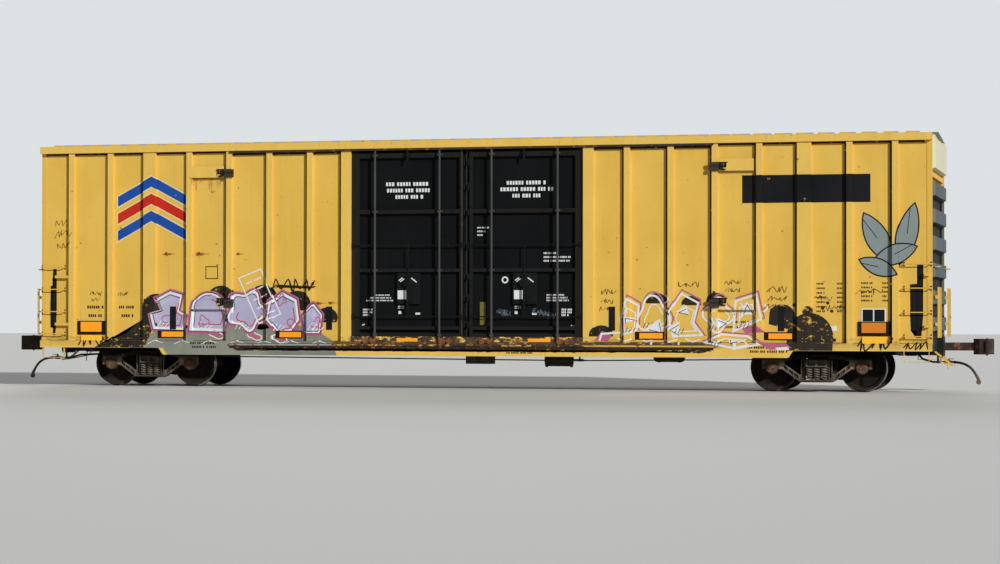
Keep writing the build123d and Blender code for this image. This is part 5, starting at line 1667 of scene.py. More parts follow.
class SideMarks(Marks):
    """Generic marks of both sides: blank sign panel, plain chevrons, rows of blocks, painted shade with dirt along the
    seams, and rust.
    """

    def paint(self) -> None:
        """Paint the marks."""
        self._signs()
        self._emblem()
        self._stencils()
        self._door_marks()
        self._seams()
        self._rust()

    def _signs(self) -> None:
        """Blank sign panel, upright black panels, and black patches beside the ladders."""
        (black,) = self.coats("black")
        black.bar(5.634, 8.151, 3.725, 4.275)
        for x0, x1 in ((-6.43, -6.29), (-2.99, -2.86), (2.95, 3.08), (6.34, 6.47)):
            black.bar(x0, x1, 1.205, 1.685, layer=8)
        for outline in (
            [
                (-9.08, 2.477), (-9.0, 2.477), (-9.0, 2.12), (-8.995, 1.6), (-9.01, 1.24), (-9.03, 1.08),
                (-9.085, 1.08), (-9.08, 1.235), (-9.14, 1.24), (-9.145, 1.7), (-9.135, 2.12), (-9.08, 2.13),
            ],
            [
                (9.045, 2.5), (9.17, 2.5), (9.165, 2.13), (9.155, 1.9), (9.165, 1.5), (9.14, 1.22), (9.125, 1.08),
                (9.03, 1.08), (9.035, 1.215), (8.925, 1.22), (8.912, 1.55), (8.93, 1.9), (8.91, 2.12), (9.045, 2.13),
            ],
        ):
            black.wall(outline)

    def _emblem(self) -> None:
        """Three plain chevrons with pale edges."""
        edge, blue, red = self.coats("pale", "blue", "red")
        for coat, low in ((blue, 3.76), (red, 3.4), (blue, 3.04)):
            top = low + 0.24
            shape = [(-7.62, low), (-6.825, low + 0.42), (-6.03, low), (-6.03, top), (-6.825, low + 0.66), (-7.62, top)]
            coat.wall(shape)
            edge.stroke([*shape, shape[0]], 0.022, 3)

    def _stencils(self) -> None:
        """Small plain rows of blocks where the side has data lines."""
        (black,) = self.coats("black")
        for number, (x0, x1, z, height) in enumerate((
            (-8.3, -7.93, 1.64, 0.06), (-8.27, -7.95, 1.46, 0.06), (-7.58, -7.2, 1.64, 0.06),
            (-7.52, -7.22, 1.46, 0.06),
            (5.3, 5.85, 1.36, 0.045), (5.3, 5.85, 1.26, 0.045), (5.75, 6.65, 0.86, 0.045), (5.8, 6.6, 0.78, 0.045),
            (-5.95, -5.4, 0.9, 0.045), (-5.9, -5.35, 0.82, 0.045), (0.86, 1.42, 0.735, 0.034),
        )):
            black.blocks(x0, x1, z, height, number)
        for columns, top, rows, step in (
            (((7.1, 7.27), (7.5, 7.62)), 2.117, 7, 0.09), (((7.97, 8.2), (8.38, 8.49)), 2.127, 5, 0.085),
        ):
            for row in range(rows):
                for x0, x1 in columns:
                    black.blocks(x0, x1, top - step * row, 0.036, 60 + row)
        black.wall(arc((7.45, 1.035), 0.034, 0, 342, 18))
        square = [(-5.63, 2.265), (-5.37, 2.265), (-5.37, 2.515), (-5.63, 2.515), (-5.63, 2.265)]
        black.stroke(square, 0.018)

    def _door_marks(self) -> None:
        """Rows of white blocks, blank squares, a ring, handle guides and chalk lines on the doors."""
        (white,) = self.coats("white")
        rows = (
            (0.83, 1.7, 4.15, 0.075), (0.7, 1.84, 4.02, 0.075), (0.95, 1.58, 3.888, 0.075),
            (-1.72, -0.8, 4.15, 0.075), (-1.7, -0.76, 4.02, 0.075), (-1.52, -0.92, 3.888, 0.075),
            (0.215, 0.47, 3.27, 0.03), (0.215, 0.42, 3.195, 0.03), (0.215, 0.36, 3.12, 0.03),
            (1.6, 1.86, 2.745, 0.034), (1.6, 2.16, 2.665, 0.034), (1.6, 2.16, 2.59, 0.034),
            (1.66, 2.05, 1.905, 0.03), (1.66, 2.1, 1.85, 0.03), (1.66, 2.14, 1.795, 0.03),
            (1.97, 2.2, 1.605, 0.04), (1.97, 2.2, 1.55, 0.04), (1.97, 2.14, 1.495, 0.04),
            (-1.98, -1.63, 1.905, 0.026), (-2.06, -1.6, 1.85, 0.026), (-2.14, -1.56, 1.795, 0.026),
            (-2.21, -1.99, 1.605, 0.034), (-2.21, -1.99, 1.55, 0.034), (-2.21, -2.06, 1.495, 0.034),
            (1.0, 1.13, 1.68, 0.02), (1.0, 1.13, 1.645, 0.02), (-1.46, -1.33, 1.68, 0.02), (-1.46, -1.33, 1.645, 0.02),
        )
        for number, (x0, x1, z, height) in enumerate(rows):
            white.blocks(x0, x1, z, height, 40 + number, DOOR_PAN_Y)
        for middle in (-1.225, 1.225):
            for dx0, dz0, dx1, dz1 in (
                (-0.2, 2.215, -0.12, 2.27), (-0.17, 2.19, -0.08, 2.255), (0.06, 2.27, 0.15, 2.205),
                (0.09, 2.245, 0.18, 2.18),
            ):
                white.stroke([(middle + dx0, dz0), (middle + dx1, dz1)], 0.022, 1, GEAR_PLATE_Y)
            white.bar(middle - 0.225, middle - 0.045, 1.835, 2.015, GEAR_PLATE_Y)
            white.bar(middle - 0.225, middle - 0.165, 1.535, 1.595, DOOR_PAN_Y)
            white.bar(middle + 0.135, middle + 0.235, 1.52, 1.56, DOOR_PAN_Y)
        white.stroke(arc((0.797, 2.225), 0.055, 0, 360, 20), 0.03, 1, DOOR_PAN_Y)
        white.stroke([(-2.23, 1.3), (-2.17, 1.325)], 0.022, 1, DOOR_PAN_Y)
        white.stroke([(2.165, 1.305), (2.24, 1.305)], 0.02, 1, DOOR_PAN_Y)
        (chalk,) = self.coats("chalk")
        for number, (x, z) in enumerate(((0.7, 1.6), (0.82, 1.56), (1.44, 1.6), (1.6, 1.57), (1.74, 1.52))):
            loop = arc((x, z), 0.045 + 0.01 * (number % 3), 40 * number, 40 * number + 300, 12, 0.8)
            chalk.stroke(loop, 0.009, 2, DOOR_PAN_Y)
            chalk.stroke(scrawl((x - 0.07, z - 0.02), 0.17, 0.12, 4, 300 + number), 0.008, 2, DOOR_PAN_Y)

    def _seams(self) -> None:
        """Painted shade with some dirt: a strip along each panel's edge beside the next post, where the post's shadow
        falls, a wavy band of painted shadow under the top chord and upper door track, a scalloped band of painted
        shadow with drips under the lower door track, and a thin dark line at the panels' feet.
        """
        film, dark = self.coats("shade_and_grime", "dark")
        chance = random.Random(11)
        # Painted shadow of the lower door track on the sill: a scalloped dark band with ragged drips of dirt.
        scallops = [(-4.98 + 0.083 * i, 0.806 - 0.026 * (i % 3 > 0) - chance.uniform(0.0, 0.012)) for i in range(121)]
        dark.wall([(4.98, 0.83), (-4.98, 0.83)] + scallops, 7)
        for start, stop, depth in wall_bands():
            if depth == SHEET_Y and stop - start > 0.3:
                # Painted shade: a dark strip along the panel's edge beside the next post, where the post's shadow
                # falls.
                if stop < HALF - 0.2:
                    film.bar(stop - 0.045, stop, SILL_TOP, CHORD_BOTTOM)
                # Painted shadow under the top chord, deeper under the upper door track.
                low = CHORD_BOTTOM - (0.085 if max(abs(start), abs(stop)) < 5.1 else 0.04)
                film.wall([
                    (start, CHORD_BOTTOM), (start, low - 0.012), (start + 0.08, low), ((start + stop) / 2, low + 0.014),
                    (stop - 0.12, low), (stop - 0.045, low - 0.014), (stop - 0.045, CHORD_BOTTOM),
                ])
                film.bar(start, stop - 0.028, SILL_TOP, SILL_TOP + 0.01)

    def _rust(self) -> None:
        """Rust blooms with runs below them."""
        film, stain = self.coats("rust", "stain")
        chance = random.Random(7)
        spots = [
            (-6.52, 2.783, 0.04), (-6.43, 2.783, 0.022), (-5.785, 2.779, 0.045), (-4.92, 2.775, 0.03),
            (-3.17, 1.75, 0.035), (-2.9, 1.757, 0.032),
        ]
        for low, high in ((-8.9, -2.8), (2.8, 8.9)):
            for _ in range(16):
                spots.append((chance.uniform(low, high), chance.uniform(1.2, 4.6), chance.uniform(0.008, 0.016)))
        for x, z, size in spots:
            film.wall(lobes((x, z), size * 1.15, 3, 0.25, chance.uniform(0, 360), 0.75)[:-1], 5)
            if size > 0.02:
                near, far = x + size, x + size * 5.0
                tail = [(near, z - size * 0.2), (far, z - size * 0.06), (far, z + size * 0.1), (near, z + size * 0.25)]
                film.wall(tail, 5)
            stain.wall(lobes((x + size * 0.4, z), size * 2.0, 4, 0.3, chance.uniform(0, 360), 0.45)[:-1], 4)
            end = z - size * chance.uniform(2.0, 5.0)
            stain.wall([(x - size * 0.25, z), (x + size * 0.2, z), (x + size * 0.06, end), (x - size * 0.02, end)], 4)
        for x0, x1 in ((-5.98, -5.18), (5.2, 5.5)):
            for i in range(9 if x0 < 0 else 2):
                x = x0 + (x1 - x0) * (i + chance.uniform(0.2, 0.8)) / 9
                low = 4.365 - chance.uniform(0.08, 0.3) * (1.0 if x0 < 0 else 0.3)
                stain.wall([(x - 0.035, 4.365), (x + 0.035, 4.365), (x + 0.008, low), (x - 0.008, low + 0.03)], 4)
            film.bar(x0, x1, 4.357, 4.366, layer=5)


class SprayMarks(Marks):
    """Spray patches and pen lines of one side, which mean nothing."""

    def paint(self) -> None:
        """Paint the patches and lines."""
        self._left_spray()
        self._right_spray()
        self._leaves()
        self._scribbles()

    def _left_spray(self) -> None:
        """Spray patch on the left: grey base, dark wedge and humps, pale shapes with magenta and white edges."""
        names = ("grey", "dark", "lavender", "magenta", "white", "navy", "red")
        grey, dark, pale, magenta, white, navy, red = self.coats(*names)
        base = [
            (-7.35, 0.6), (-7.35, 0.84), (-6.95, 1.02), (-6.6, 1.27), (-5.9, 1.22), (-5.2, 1.33), (-4.4, 1.2),
            (-3.7, 1.32), (-3.2, 1.2), (-2.85, 0.98), (-2.7, 0.6),
        ]
        grey.wall(base, 1)
        dark.wall([(-8.1, 0.825), (-6.98, 0.825), (-6.62, 1.5), (-6.98, 1.86), (-7.06, 1.4), (-7.42, 1.12)], 2)
        for x, z, radius in (
            (-6.72, 1.72, 0.27), (-5.28, 1.84, 0.33), (-4.36, 1.88, 0.3), (-3.62, 1.74, 0.32), (-2.98, 1.46, 0.24),
        ):
            dark.wall(arc((x, z), radius, -30, 210, 16, 0.85), 3)
        shapes = (
            [
                (-6.78, 1.2), (-6.86, 1.52), (-6.62, 1.6), (-6.74, 1.86), (-6.42, 2.02), (-6.14, 1.94), (-6.22, 1.6),
                (-6.02, 1.5), (-6.1, 1.18),
            ],
            [(-5.98, 1.16)] + arc((-5.55, 1.62), 0.38, 170, 20, 10, 0.95) + [(-5.1, 1.4), (-5.18, 1.14)],
            lobes((-4.72, 1.6), 0.4, 5, 0.15, 40, 1.02)[:-1],
            [(-4.02, 1.1), (-4.3, 1.42), (-4.22, 1.8), (-3.94, 2.0), (-3.62, 1.84), (-3.56, 1.4), (-3.74, 1.16)],
            [(-3.48, 1.12), (-3.52, 1.5), (-3.26, 1.76), (-3.06, 1.52), (-3.12, 1.12)],
        )
        for number, outline in enumerate(shapes):
            closed = outline + [outline[0]]
            pale.wall(outline, 4)
            magenta.stroke(resized(closed, 1.03), 0.05, 5)
            navy.stroke(resized(closed, 0.985), 0.014, 6)
            white.stroke(resized(closed, 0.9), 0.048, 5)
            navy.stroke(resized(closed, 0.8)[: len(closed) // 2 + 1], 0.016, 6)
            red.stroke(resized(closed, 0.62, (0.03, -0.04))[len(closed) // 2:], 0.02, 6)
            magenta.stroke(
                [(x + 0.3, z + 0.22) for x, z in lobes(outline[0], 0.1, 2 + number % 3, 0.3, 30 * number)], 0.022, 6,
            )
            low = min(z for _, z in outline) + 0.08
            left = min(x for x, _ in outline) + 0.16
            for i in range(4):
                white.stroke([(left + 0.08 * i, low), (left + 0.08 * i + 0.09, low + 0.16 - 0.03 * i)], 0.016, 6)
        for x, z in ((-5.4, 1.1), (-4.55, 1.07), (-4.0, 1.02)):
            ring = lobes((x, z), 0.13, 2, 0.35, 70, 0.62)
            magenta.wall(resized(ring[:-1], 0.7), 5)
            white.stroke(ring, 0.024, 5)
        for i in range(7):
            x = -6.9 + 0.6 * i
            white.stroke([(x, 0.9), (x + 0.16, 0.98), (x + 0.34, 0.93)], 0.014, 5)
        frame = [(-4.9, 2.27), (-4.42, 2.46), (-3.98, 1.53), (-4.46, 1.33), (-4.9, 2.27)]
        white.stroke(frame, 0.026, 7)
        for i in range(5):
            z = 2.15 - 0.17 * i
            x = -4.74 + 0.08 * i
            white.stroke([(x, z), (x + 0.13, z + 0.055)], 0.026, 7)
            white.stroke([(x + 0.17, z + 0.07), (x + 0.32, z + 0.135)], 0.026, 7)

    def _right_spray(self) -> None:
        """Spray patch on the right: open shapes in white and magenta over dark domes."""
        white, magenta, dark, black, navy = self.coats("white", "magenta", "dark", "black", "navy")
        for x, z, radius in ((2.8, 1.12, 0.24), (3.92, 1.78, 0.22), (4.62, 1.74, 0.2), (5.12, 1.8, 0.2)):
            dark.wall(arc((x, z), radius, -10, 190, 14, 0.8), 1)
        magenta.wall([(2.66, 1.02), (2.82, 1.2), (3.02, 1.1), (2.92, 0.98)], 2)
        magenta.wall([(5.55, 1.34), (5.95, 1.3), (6.1, 1.18), (5.7, 1.16)], 2)
        shapes = (
            [(3.22, 1.12), (3.18, 1.44), (3.32, 1.84), (3.56, 1.7), (3.52, 1.22), (3.22, 1.12)],
            lobes((3.86, 1.52), 0.31, 3, 0.2, 70, 1.05),
            [(4.26, 1.1), (4.16, 1.56), (4.42, 1.94), (4.76, 1.76), (4.66, 1.36), (4.84, 1.12), (4.26, 1.1)],
            lobes((5.16, 1.52), 0.27, 4, 0.18, 20, 1.1),
            [(5.46, 1.2), (5.52, 1.8), (5.92, 1.92), (6.02, 1.44), (5.46, 1.2)],
            [(4.9, 0.98), (5.22, 1.14), (5.74, 1.1), (5.98, 0.94), (5.5, 0.86), (4.9, 0.98)],
        )
        for number, closed in enumerate(shapes):
            magenta.stroke(resized(closed, 1.1, (0.02, 0.03)), 0.03, 2)
            white.stroke(closed, 0.04, 3)
            white.stroke(resized(closed, 0.62, (0.02, -0.03)), 0.022, 3)
            low = min(z for _, z in closed) + 0.05
            left = min(x for x, _ in closed) + 0.12
            for i in range(3):
                black.stroke([(left + 0.07 * i, low), (left + 0.07 * i + 0.05, low + 0.1)], 0.012, 4)
        for i in range(6):
            x = 3.12 + 0.46 * i
            white.stroke([(x, 1.05), (x + 0.14, 0.985), (x + 0.3, 1.04)], 0.026, 3)
        white.stroke([(2.76, 1.0), (2.8, 1.14), (3.2, 1.17)], 0.04, 3)
        wedges = (
            (3.36, 1.42, 0.14, 15), (3.9, 1.28, 0.19, 195), (4.3, 1.24, 0.15, 60), (4.48, 1.6, 0.18, 80),
            (5.2, 1.36, 0.17, 250), (5.74, 1.62, 0.19, 330), (5.44, 1.02, 0.17, 130),
        )
        for number, (x, z, size, turn) in enumerate(wedges):
            kind = number % 3
            wedge = arc((x, z), size * (1.3 - 0.09 * number), turn, turn + 225 + 8 * kind, 2, 0.5 + 0.3 * kind)
            white.wall(wedge, 4)
            navy.stroke(resized(wedge, 0.66, (0.015, -0.02)), 0.015, 5)
        for x, z, height in (
            (3.24, 1.52, 0.24), (4.08, 1.75, 0.16), (4.98, 1.2, 0.34), (5.6, 1.46, 0.3), (6.05, 1.58, 0.16),
        ):
            white.stroke([(x, z), (x + 0.1, z + height * 0.5), (x + 0.02, z + height)], 0.03, 4)
        for x, width in ((3.8, 0.05), (4.36, 0.04), (5.46, 0.07)):
            white.wall([(x, 0.98), (x + width, 0.98), (x + width * 0.8, 0.84), (x + width * 0.2, 0.82)], 4)
        for x, z in ((5.08, 1.96), (6.22, 1.62), (6.66, 1.72), (7.22, 1.66), (7.4, 1.6), (7.32, 1.76)):
            dark.wall(arc((x, z), 0.035, 0, 330, 11), 2)
        dark.wall([(6.16, 1.34)] + arc((6.42, 1.5), 0.26, 160, 0, 8, 0.9) + [(6.72, 1.2)], 1)
        dark.wall([(6.52, 0.825), (7.42, 0.825)] + arc((6.97, 1.08), 0.46, 0, 180, 16, 1.05), 2)
        dark.wall(arc((6.93, 1.6), 0.1, 0, 360, 14)[:-1], 3)
        magenta.wall([(5.92, 0.99), (6.5, 0.97), (6.62, 0.88), (6.2, 0.84)], 4)
        white.bar(7.22, 7.5, 1.215, 1.305)
        white.wall([(6.3, 0.88), (6.55, 0.9), (6.58, 0.84), (6.34, 0.83)], 5)

    def _leaves(self) -> None:
        """Pointed grey leaves with dark edges and midribs, high up beside the right-hand corner."""
        grey, dark = self.coats("bluegrey", "black")
        leaves = (
            ((8.28, 3.02), 118, 0.56, 0.22), ((8.86, 3.1), 76, 0.62, 0.2), ((8.62, 2.7), 20, 0.46, 0.19),
            ((8.3, 2.46), 158, 0.4, 0.16),
        )
        for number, (centre, tilt, length, width) in enumerate(leaves):
            cos, sin = math.cos(math.radians(tilt)), math.sin(math.radians(tilt))
            upper = [(length * (i / 6 - 1), width * math.sin(math.pi * i / 12) ** 0.8) for i in range(13)]
            outline = upper + [(x, -z) for x, z in reversed(upper[1:-1])]
            turned = [(centre[0] + x * cos - z * sin, centre[1] + x * sin + z * cos) for x, z in outline]
            inside = [(min(x, HALF - 0.03), z) for x, z in turned]
            grey.wall(inside, 2 + 2 * number)
            dark.stroke(inside + [inside[0]], 0.026, 3 + 2 * number)
            dark.stroke([centre, inside[11]], 0.014, 3 + 2 * number)

    def _scribbles(self) -> None:
        """Pen and spray lines without meaning."""
        ink, dark, black = self.coats("ink", "dark", "black")
        rows = (
            (-9.05, 3.46, 0.34, 0.18, 3), (-9.02, 3.22, 0.36, 0.22, 4), (-9.0, 2.98, 0.32, 0.16, 3),
            (-8.22, 1.96, 0.24, 0.1, 4),
            (-8.2, 1.82, 0.2, 0.09, 3), (-7.6, 1.95, 0.24, 0.1, 4), (2.78, 1.98, 0.3, 0.12, 4),
            (2.8, 1.8, 0.26, 0.13, 3),
            (2.78, 1.64, 0.3, 0.1, 4), (4.36, 2.12, 0.42, 0.12, 5), (5.28, 2.16, 0.32, 0.1, 4),
            (5.3, 2.02, 0.28, 0.1, 4),
            (6.12, 2.02, 0.44, 0.14, 4), (6.16, 1.84, 0.4, 0.12, 4), (6.1, 1.68, 0.46, 0.12, 5),
            (7.02, 1.86, 0.36, 0.12, 4),
            (7.24, 1.66, 0.4, 0.14, 4), (7.86, 1.98, 0.5, 0.12, 5),
        )
        for number, (x, z, length, height, loops) in enumerate(rows):
            ink.stroke(scrawl((x, z), length, height, loops, number), 0.012, 6)
        for number, (x, z, length, height, loops, width) in enumerate((
            (-4.12, 2.12, 0.86, 0.3, 5, 0.026), (-8.46, 0.97, 0.64, 0.3, 4, 0.028),
            (7.84, 0.97, 0.74, 0.31, 5, 0.03), (8.8, 0.93, 0.46, 0.17, 5, 0.022),
        )):
            black.stroke(scrawl((x, z), length, height, loops, 60 + number), width, 6)
        dark.wall([(-4.14, 2.08), (-3.3, 2.05), (-3.2, 2.1), (-4.1, 2.14)], 2)


def build_marks(shop: Workshop) -> None:
    """Paint both sides, of which only the near one was sprayed, and turn each film into a piece.

    Args:
        shop: The workshop.
    """
    films: Films = {}
    for side in Side:
        SideMarks(films, side).paint()
    SprayMarks(films, Side.NEAR).paint()
    for (coat, side), film in films.items():
        slot = "door_black" if coat in ("black", "dark", "chalk") else "body_yellow"
        shop.from_bmesh(f"paint_{coat}_{side.key}", film.mesh, slot, material=shop.paint(COATS[coat]))


# ---- fittings of sides and doors


@dataclass
class Fittings:
    """What the fittings of a side and of its doors have in common."""

    shop: Workshop
    trees: GrowthTrees
    side: Side

    def _box(self, target: BMesh, x: Point, y: Point, z: Point, edge: float = 0.0) -> None:
        """Add a bar on this side.

        Args:
            target: The bmesh.
            x: Both ends along the car.
            y: Both distances from the centre line.
            z: Bottom and top.
            edge: Width of the broken edge across X and Z.
        """
        xs, ys = sorted(self.side.value * end for end in x), sorted(-self.side.value * face for face in y)
        add_bar(target, (xs[0], ys[0], z[0]), (xs[1], ys[1], z[1]), edge)

    def _piece(self, name: str, made: BMesh, slot: str, material: Material | None = None) -> None:
        """Turn a bmesh into a piece of this side."""
        self.shop.from_bmesh(f"{name}_{self.side.key}", made, slot, material=material)

    def _grow(
        self, name: str, places: Points3, tree: Tree, size: Point, slot: str, material: Material | None = None,
    ) -> None:
        """Set heads of one size at places on this side.

        Args:
            name: Start of the piece's name.
            places: Where the heads sit.
            tree: The geometry tree of the heads.
            size: Radius and height of a head.
            slot: The record's slot.
            material: Its own material, if any.
        """
        heads, values = seed(places, self.side.outward), {"Radius": size[0], "Height": size[1]}
        self.shop.grown(f"{name}_{self.side.key}", heads, tree, values, slot, "car", material)


class SideFittings(Fittings):
    """Reflectors, placard holders, rollers, latches and bolt heads of a side."""

    def build(self) -> None:
        """Make the fittings."""
        self._reflectors()
        self._rollers()
        self._latches()
        self._heads()

    def _rollers(self) -> None:
        """Pairs of red rollers at the feet of the door rods."""
        made = bmesh.new()
        profile = ((0.0, 0.054), (0.02, 0.054), (0.022, 0.05), (0.022, 0.02), (0.03, 0.018))
        for x, ahead in ((-1.917, -1), (-0.547, 1), (0.547, -1), (1.917, 1)):
            for shift in (0.078, 0.198):
                add_turning(made, profile, self.side.at(x + ahead * shift, 1.5855, 0.985), self.side.outward)
        self._piece("door_rollers", made, "track_rust", self.shop.paint(EXTRAS["red"]))

    def _reflectors(self) -> None:
        """Reflectors on black backings, placard holders, and the record panels in their frame."""
        box = self._box
        plates, lenses, dusty, shelves, frame, panels = (bmesh.new() for _ in range(6))
        for x0, x1 in ((-6.61, -6.13), (-4.0, -3.53), (3.575, 4.046), (6.158, 6.619)):
            box(plates, (x0 - 0.09, x1 + 0.03), (SHEET_Y, SHEET_Y + 0.006), (1.025, 1.185), 0.006)
            box(lenses, (x0, x1), (SHEET_Y + 0.006, SHEET_Y + 0.01), (1.05, 1.16), 0.004)
        for x in ((-1.456, -1.012), (1.303, 1.769)):
            box(lenses, x, (1.568, 1.572), (0.972, 1.042), 0.003)
        for x0, x1, z0, z1 in ((-8.436, -7.963, 1.153, 1.36), (7.98, 8.45, 1.175, 1.375)):
            box(plates, (x0 - 0.075, x1 + 0.085), (SHEET_Y, SHEET_Y + 0.02), (z0 - 0.06, z1 + 0.02), 0.008)
            box(lenses if x0 < 0 else dusty, (x0, x1), (SHEET_Y + 0.02, SHEET_Y + 0.026), (z0, z1), 0.005)
            box(shelves, (x0 + 0.01, x1), (SHEET_Y, SHEET_Y + 0.028), (z0 - 0.22, z0 - 0.07), 0.01)
        box(frame, (7.975, 8.448), (SHEET_Y, SHEET_Y + 0.01), (1.378, 1.65))
        for x in ((8.0, 8.2), (8.225, 8.425)):
            box(panels, x, (SHEET_Y + 0.01, SHEET_Y + 0.0125), (1.4, 1.63))
        for name, made, slot, finish in (
            ("reflector_plates", plates, "door_black", COATS["black"]),
            ("reflectors", lenses, "safety_yellow", EXTRAS["amber"]),
            ("dusty_reflector", dusty, "safety_yellow", EXTRAS["dusty"]),
            ("placard_shelves", shelves, "safety_yellow", EXTRAS["bright"]),
            ("record_frame", frame, "body_yellow", COATS["white"]),
            ("record_panels", panels, "door_black", COATS["black"]),
        ):
            self._piece(name, made, slot, self.shop.paint(finish))

    def _latches(self) -> None:
        """Black latches on the door stops, over yellow pads."""
        made, pads = bmesh.new(), bmesh.new()
        bars = (
            (pads, 0.0, 0.16, 1.6, -0.03, 0.13), (made, 0.005, 0.045, 1.618, -0.02, 0.12),
            (made, 0.065, 0.085, 1.618, -0.02, 0.12), (made, 0.11, 0.15, 1.618, 0.02, 0.12),
            (made, 0.03, 0.13, 1.612, -0.032, -0.008), (made, 0.03, 0.14, 1.612, 0.03, 0.05),
        )
        for sign in (-1, 1):
            x = sign * (POSTS[2] + 0.09)
            for z in (4.415, 1.735):
                for into, near, far, face, low, high in bars:
                    self._box(into, (x + sign * near, x + sign * far), (POST_Y, face), (z + low, z + high), 0.004)
                add_tube(made, [self.side.at(x + sign * end, 1.61, z + 0.115) for end in (-0.14, 0.17)], 0.011)
        self._piece("stop_latches", made, "door_black", self.shop.lock_paint)
        self._piece("stop_pads", pads, "body_yellow")

    def _heads(self) -> None:
        """Bolt and rivet heads along sills, posts, tracks and chords."""
        at, box = self.side.at, self._box
        track = [at(-5.0 + 0.25 * i, 1.595, 0.853) for i in range(41)]
        self._grow("track_bolts", track, self.trees.bolts, (0.013, 0.012), "track_rust")
        posts = []
        for x in POSTS:
            for sign in (-1, 1):
                for dx in (-0.035, 0.035):
                    for z in (1.0, 1.06, 4.8, 4.86):
                        posts.append(at(sign * x + dx, POST_Y, z))
        for sign in (-1, 1):
            for z in [1.15 + 0.32 * i for i in range(12)]:
                posts.append(at(sign * (DOOR_POST[1] - 0.04), POST_Y, z))
                posts.append(at(sign * (HALF - 0.075), CORNER_Y, z))
        self._grow("post_rivets", posts, self.trees.rivets, (0.0095, 0.006), "body_yellow")
        feet, ladder = bmesh.new(), []
        for sign in (-1, 1):
            for x, face in ((sign * 8.8, SHEET_Y), (sign * 9.32, CORNER_Y)):
                for z in (1.08, 1.549, 2.018, 2.487):
                    box(feet, (x - 0.018, x + 0.018), (face, face + 0.006), (z + RAIL - 0.05, z + RAIL + 0.05), 0.004)
                    for dz in (-0.032, 0.032):
                        ladder.append(at(x, face + 0.006, z + RAIL + dz))
        for x0, x1 in ((-9.0, -8.7), (9.19, 9.3)):
            for z in (1.31, 2.31):
                box(feet, (x0, x1), (POST_Y, POST_Y + 0.012), (z - 0.03, z + 0.03), 0.003)
                for x in (x0 + 0.02, x1 - 0.02):
                    box(feet, (x - 0.012, x + 0.012), (SHEET_Y, POST_Y + 0.004), (z - 0.03, z + 0.03), 0.003)
        self._piece("rung_feet", feet, "safety_yellow")
        self._grow("ladder_bolts", ladder, self.trees.bolts, (0.01, 0.008), "door_hardware", self.shop.lock_paint)


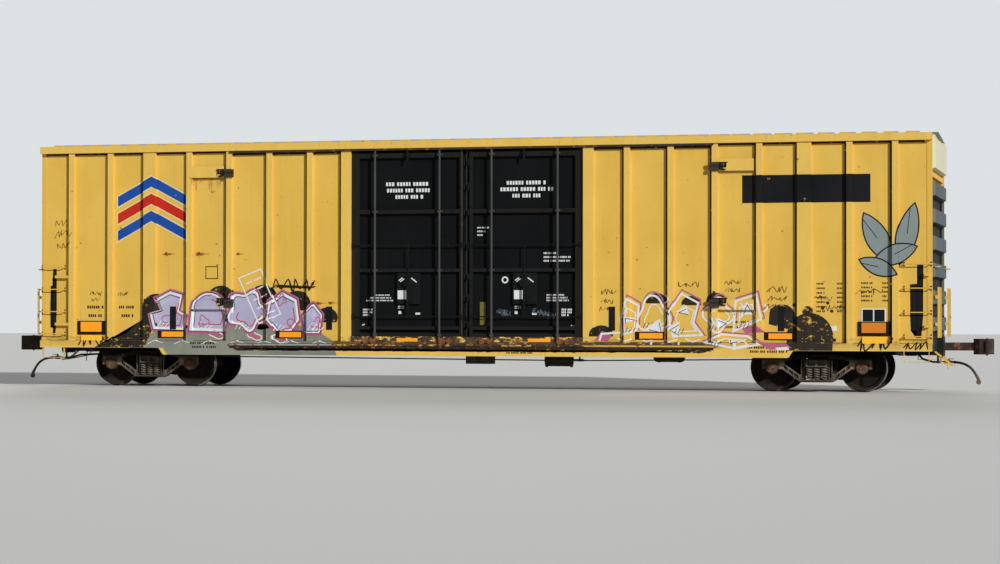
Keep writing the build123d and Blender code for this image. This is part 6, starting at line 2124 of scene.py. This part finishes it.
class DoorFittings(Fittings):
    """Seals, hinge lugs, edge angles and bolts of the two doors of a side."""

    def build(self) -> None:
        """Make the fittings."""
        self._seals()
        self._lugs()
        self._angles()
        self._bolts()

    def _seals(self) -> None:
        """Rubber seals round each leaf, where it meets the posts and the other leaf."""
        made = bmesh.new()
        for sign in (-1, 1):
            for x0, x1 in ((0.004, 0.02), (2.4235, 2.4375)):
                self._box(made, (sign * x0, sign * x1), (1.4585, 1.47), (1.085, 4.9), 0.003)
        self._piece("door_seals", made, "hose_rubber")

    def _lugs(self) -> None:
        """Hinge lugs and pins in the recess between the leaves."""
        made = bmesh.new()
        for sign in (-1, 1):
            for z in (1.32, 1.86, 2.3, 2.93, 3.6, 4.12, 4.62):
                self._box(made, (sign * 0.03, sign * 0.0755), (DOOR_PAN_Y, 1.534), (z - 0.045, z + 0.045), 0.008)
                add_tube(made, [self.side.at(sign * 0.043, 1.534, z + dz) for dz in (-0.07, 0.07)], 0.012)
        self._piece("hinge_lugs", made, "door_hardware", self.shop.lock_paint)

    def _angles(self) -> None:
        """Worn angles down the edges of one leaf, and the dull plate on the same leaf."""
        made, plate = bmesh.new(), bmesh.new()
        for x in ((-0.098, -0.0745), (2.405, 2.4325)):
            self._box(made, x, (DOOR_EDGE_Y, 1.5445), (1.1, 4.9))
        self._box(plate, (0.274, 0.39), (DOOR_PAN_Y, 1.462), (1.312, 1.778), 0.004)
        self._piece("edge_angles", made, "door_hardware", self.shop.paint(EXTRAS["worn"]))
        self._piece("door_plates", plate, "door_hardware", self.shop.paint(EXTRAS["dull_yellow"]))

    def _bolts(self) -> None:
        """Bolts round the gear plates, on the belts and down the door frames."""
        at, places = self.side.at, []
        for sign in (-1, 1):
            for dx in (-0.215, 0.0, 0.215):
                for z in (1.765, 2.34):
                    places.append(at(sign * (1.2213 + dx), GEAR_PLATE_Y, z))
            for z in (2.4, 3.59, 4.747):
                for x in (0.3, 0.85, 1.6, 2.1):
                    places.append(at(sign * x, BELT_Y, z + RAIL))
            for z in [1.3 + 0.4 * i for i in range(9)]:
                places.append(at(sign * 0.105, DOOR_EDGE_Y, z))
        self._grow("door_bolts", places, self.trees.bolts, (0.012, 0.01), "door_hardware", self.shop.lock_paint)


# ---- running gear


@dataclass
class RunningGear:
    """Cap screws of the axle ends, and wedges between bolsters and columns."""

    shop: Workshop
    trees: GrowthTrees

    def build(self) -> None:
        """Make the pieces of both trucks and all four wheelsets."""
        for number, x in enumerate(AXLES, start=1):
            places, facing = [], []
            for wing in (-1, 1):
                for turn in range(3):
                    angle = math.radians(90 + 120 * turn)
                    places.append((x + 0.047 * math.cos(angle), wing * 1.1305, AXLE_Z + 0.047 * math.sin(angle)))
                    facing.append((0.0, float(wing), 0.0))
            screws, values = seed(places, facing), {"Radius": 0.017, "Height": 0.016}
            body = f"wheelset_{number}"
            self.shop.grown(f"cap_screws_{number}", screws, self.trees.bolts, values, "bearing_steel", body)
        for end, side in (("a", 1), ("b", -1)):
            self._wedges(end, side * TRUCK_X)

    def _wedges(self, end: str, x: float) -> None:
        """Friction wedges between bolster and columns.

        Args:
            end: Letter of the end.
            x: Middle of the truck.
        """
        made = bmesh.new()
        for wing in (-1, 1):
            for ahead in (-1, 1):
                back, front = x + ahead * 0.206, x + ahead * 0.231
                outline = [(back, 0.505), (front, 0.505), (front, 0.6), (back, 0.63)]
                low, high = sorted((wing * 0.945, wing * 1.062))
                add_prism(made, outline, low, high)
        self.shop.from_bmesh(f"friction_wedges_{end}", made, "truck_casting", f"truck_{end}")


def main() -> None:
    """Build the scene in order."""
    logging.basicConfig(level=logging.INFO, format="%(message)s")
    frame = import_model()
    Studio().build()
    shop = Workshop()
    CadFinishes(shop).dress(frame["nodes"])
    AirHoses(shop).build()
    trees = GrowthTrees()
    TruckSprings(shop, trees).build()
    RunningGear(shop, trees).build()
    for fittings in (SideFittings, DoorFittings):
        for side in Side:
            fittings(shop, trees, side).build()
    build_marks(shop)
    bpy.context.scene.view_settings.view_transform = "Standard"


if __name__ == "__main__":
    main()
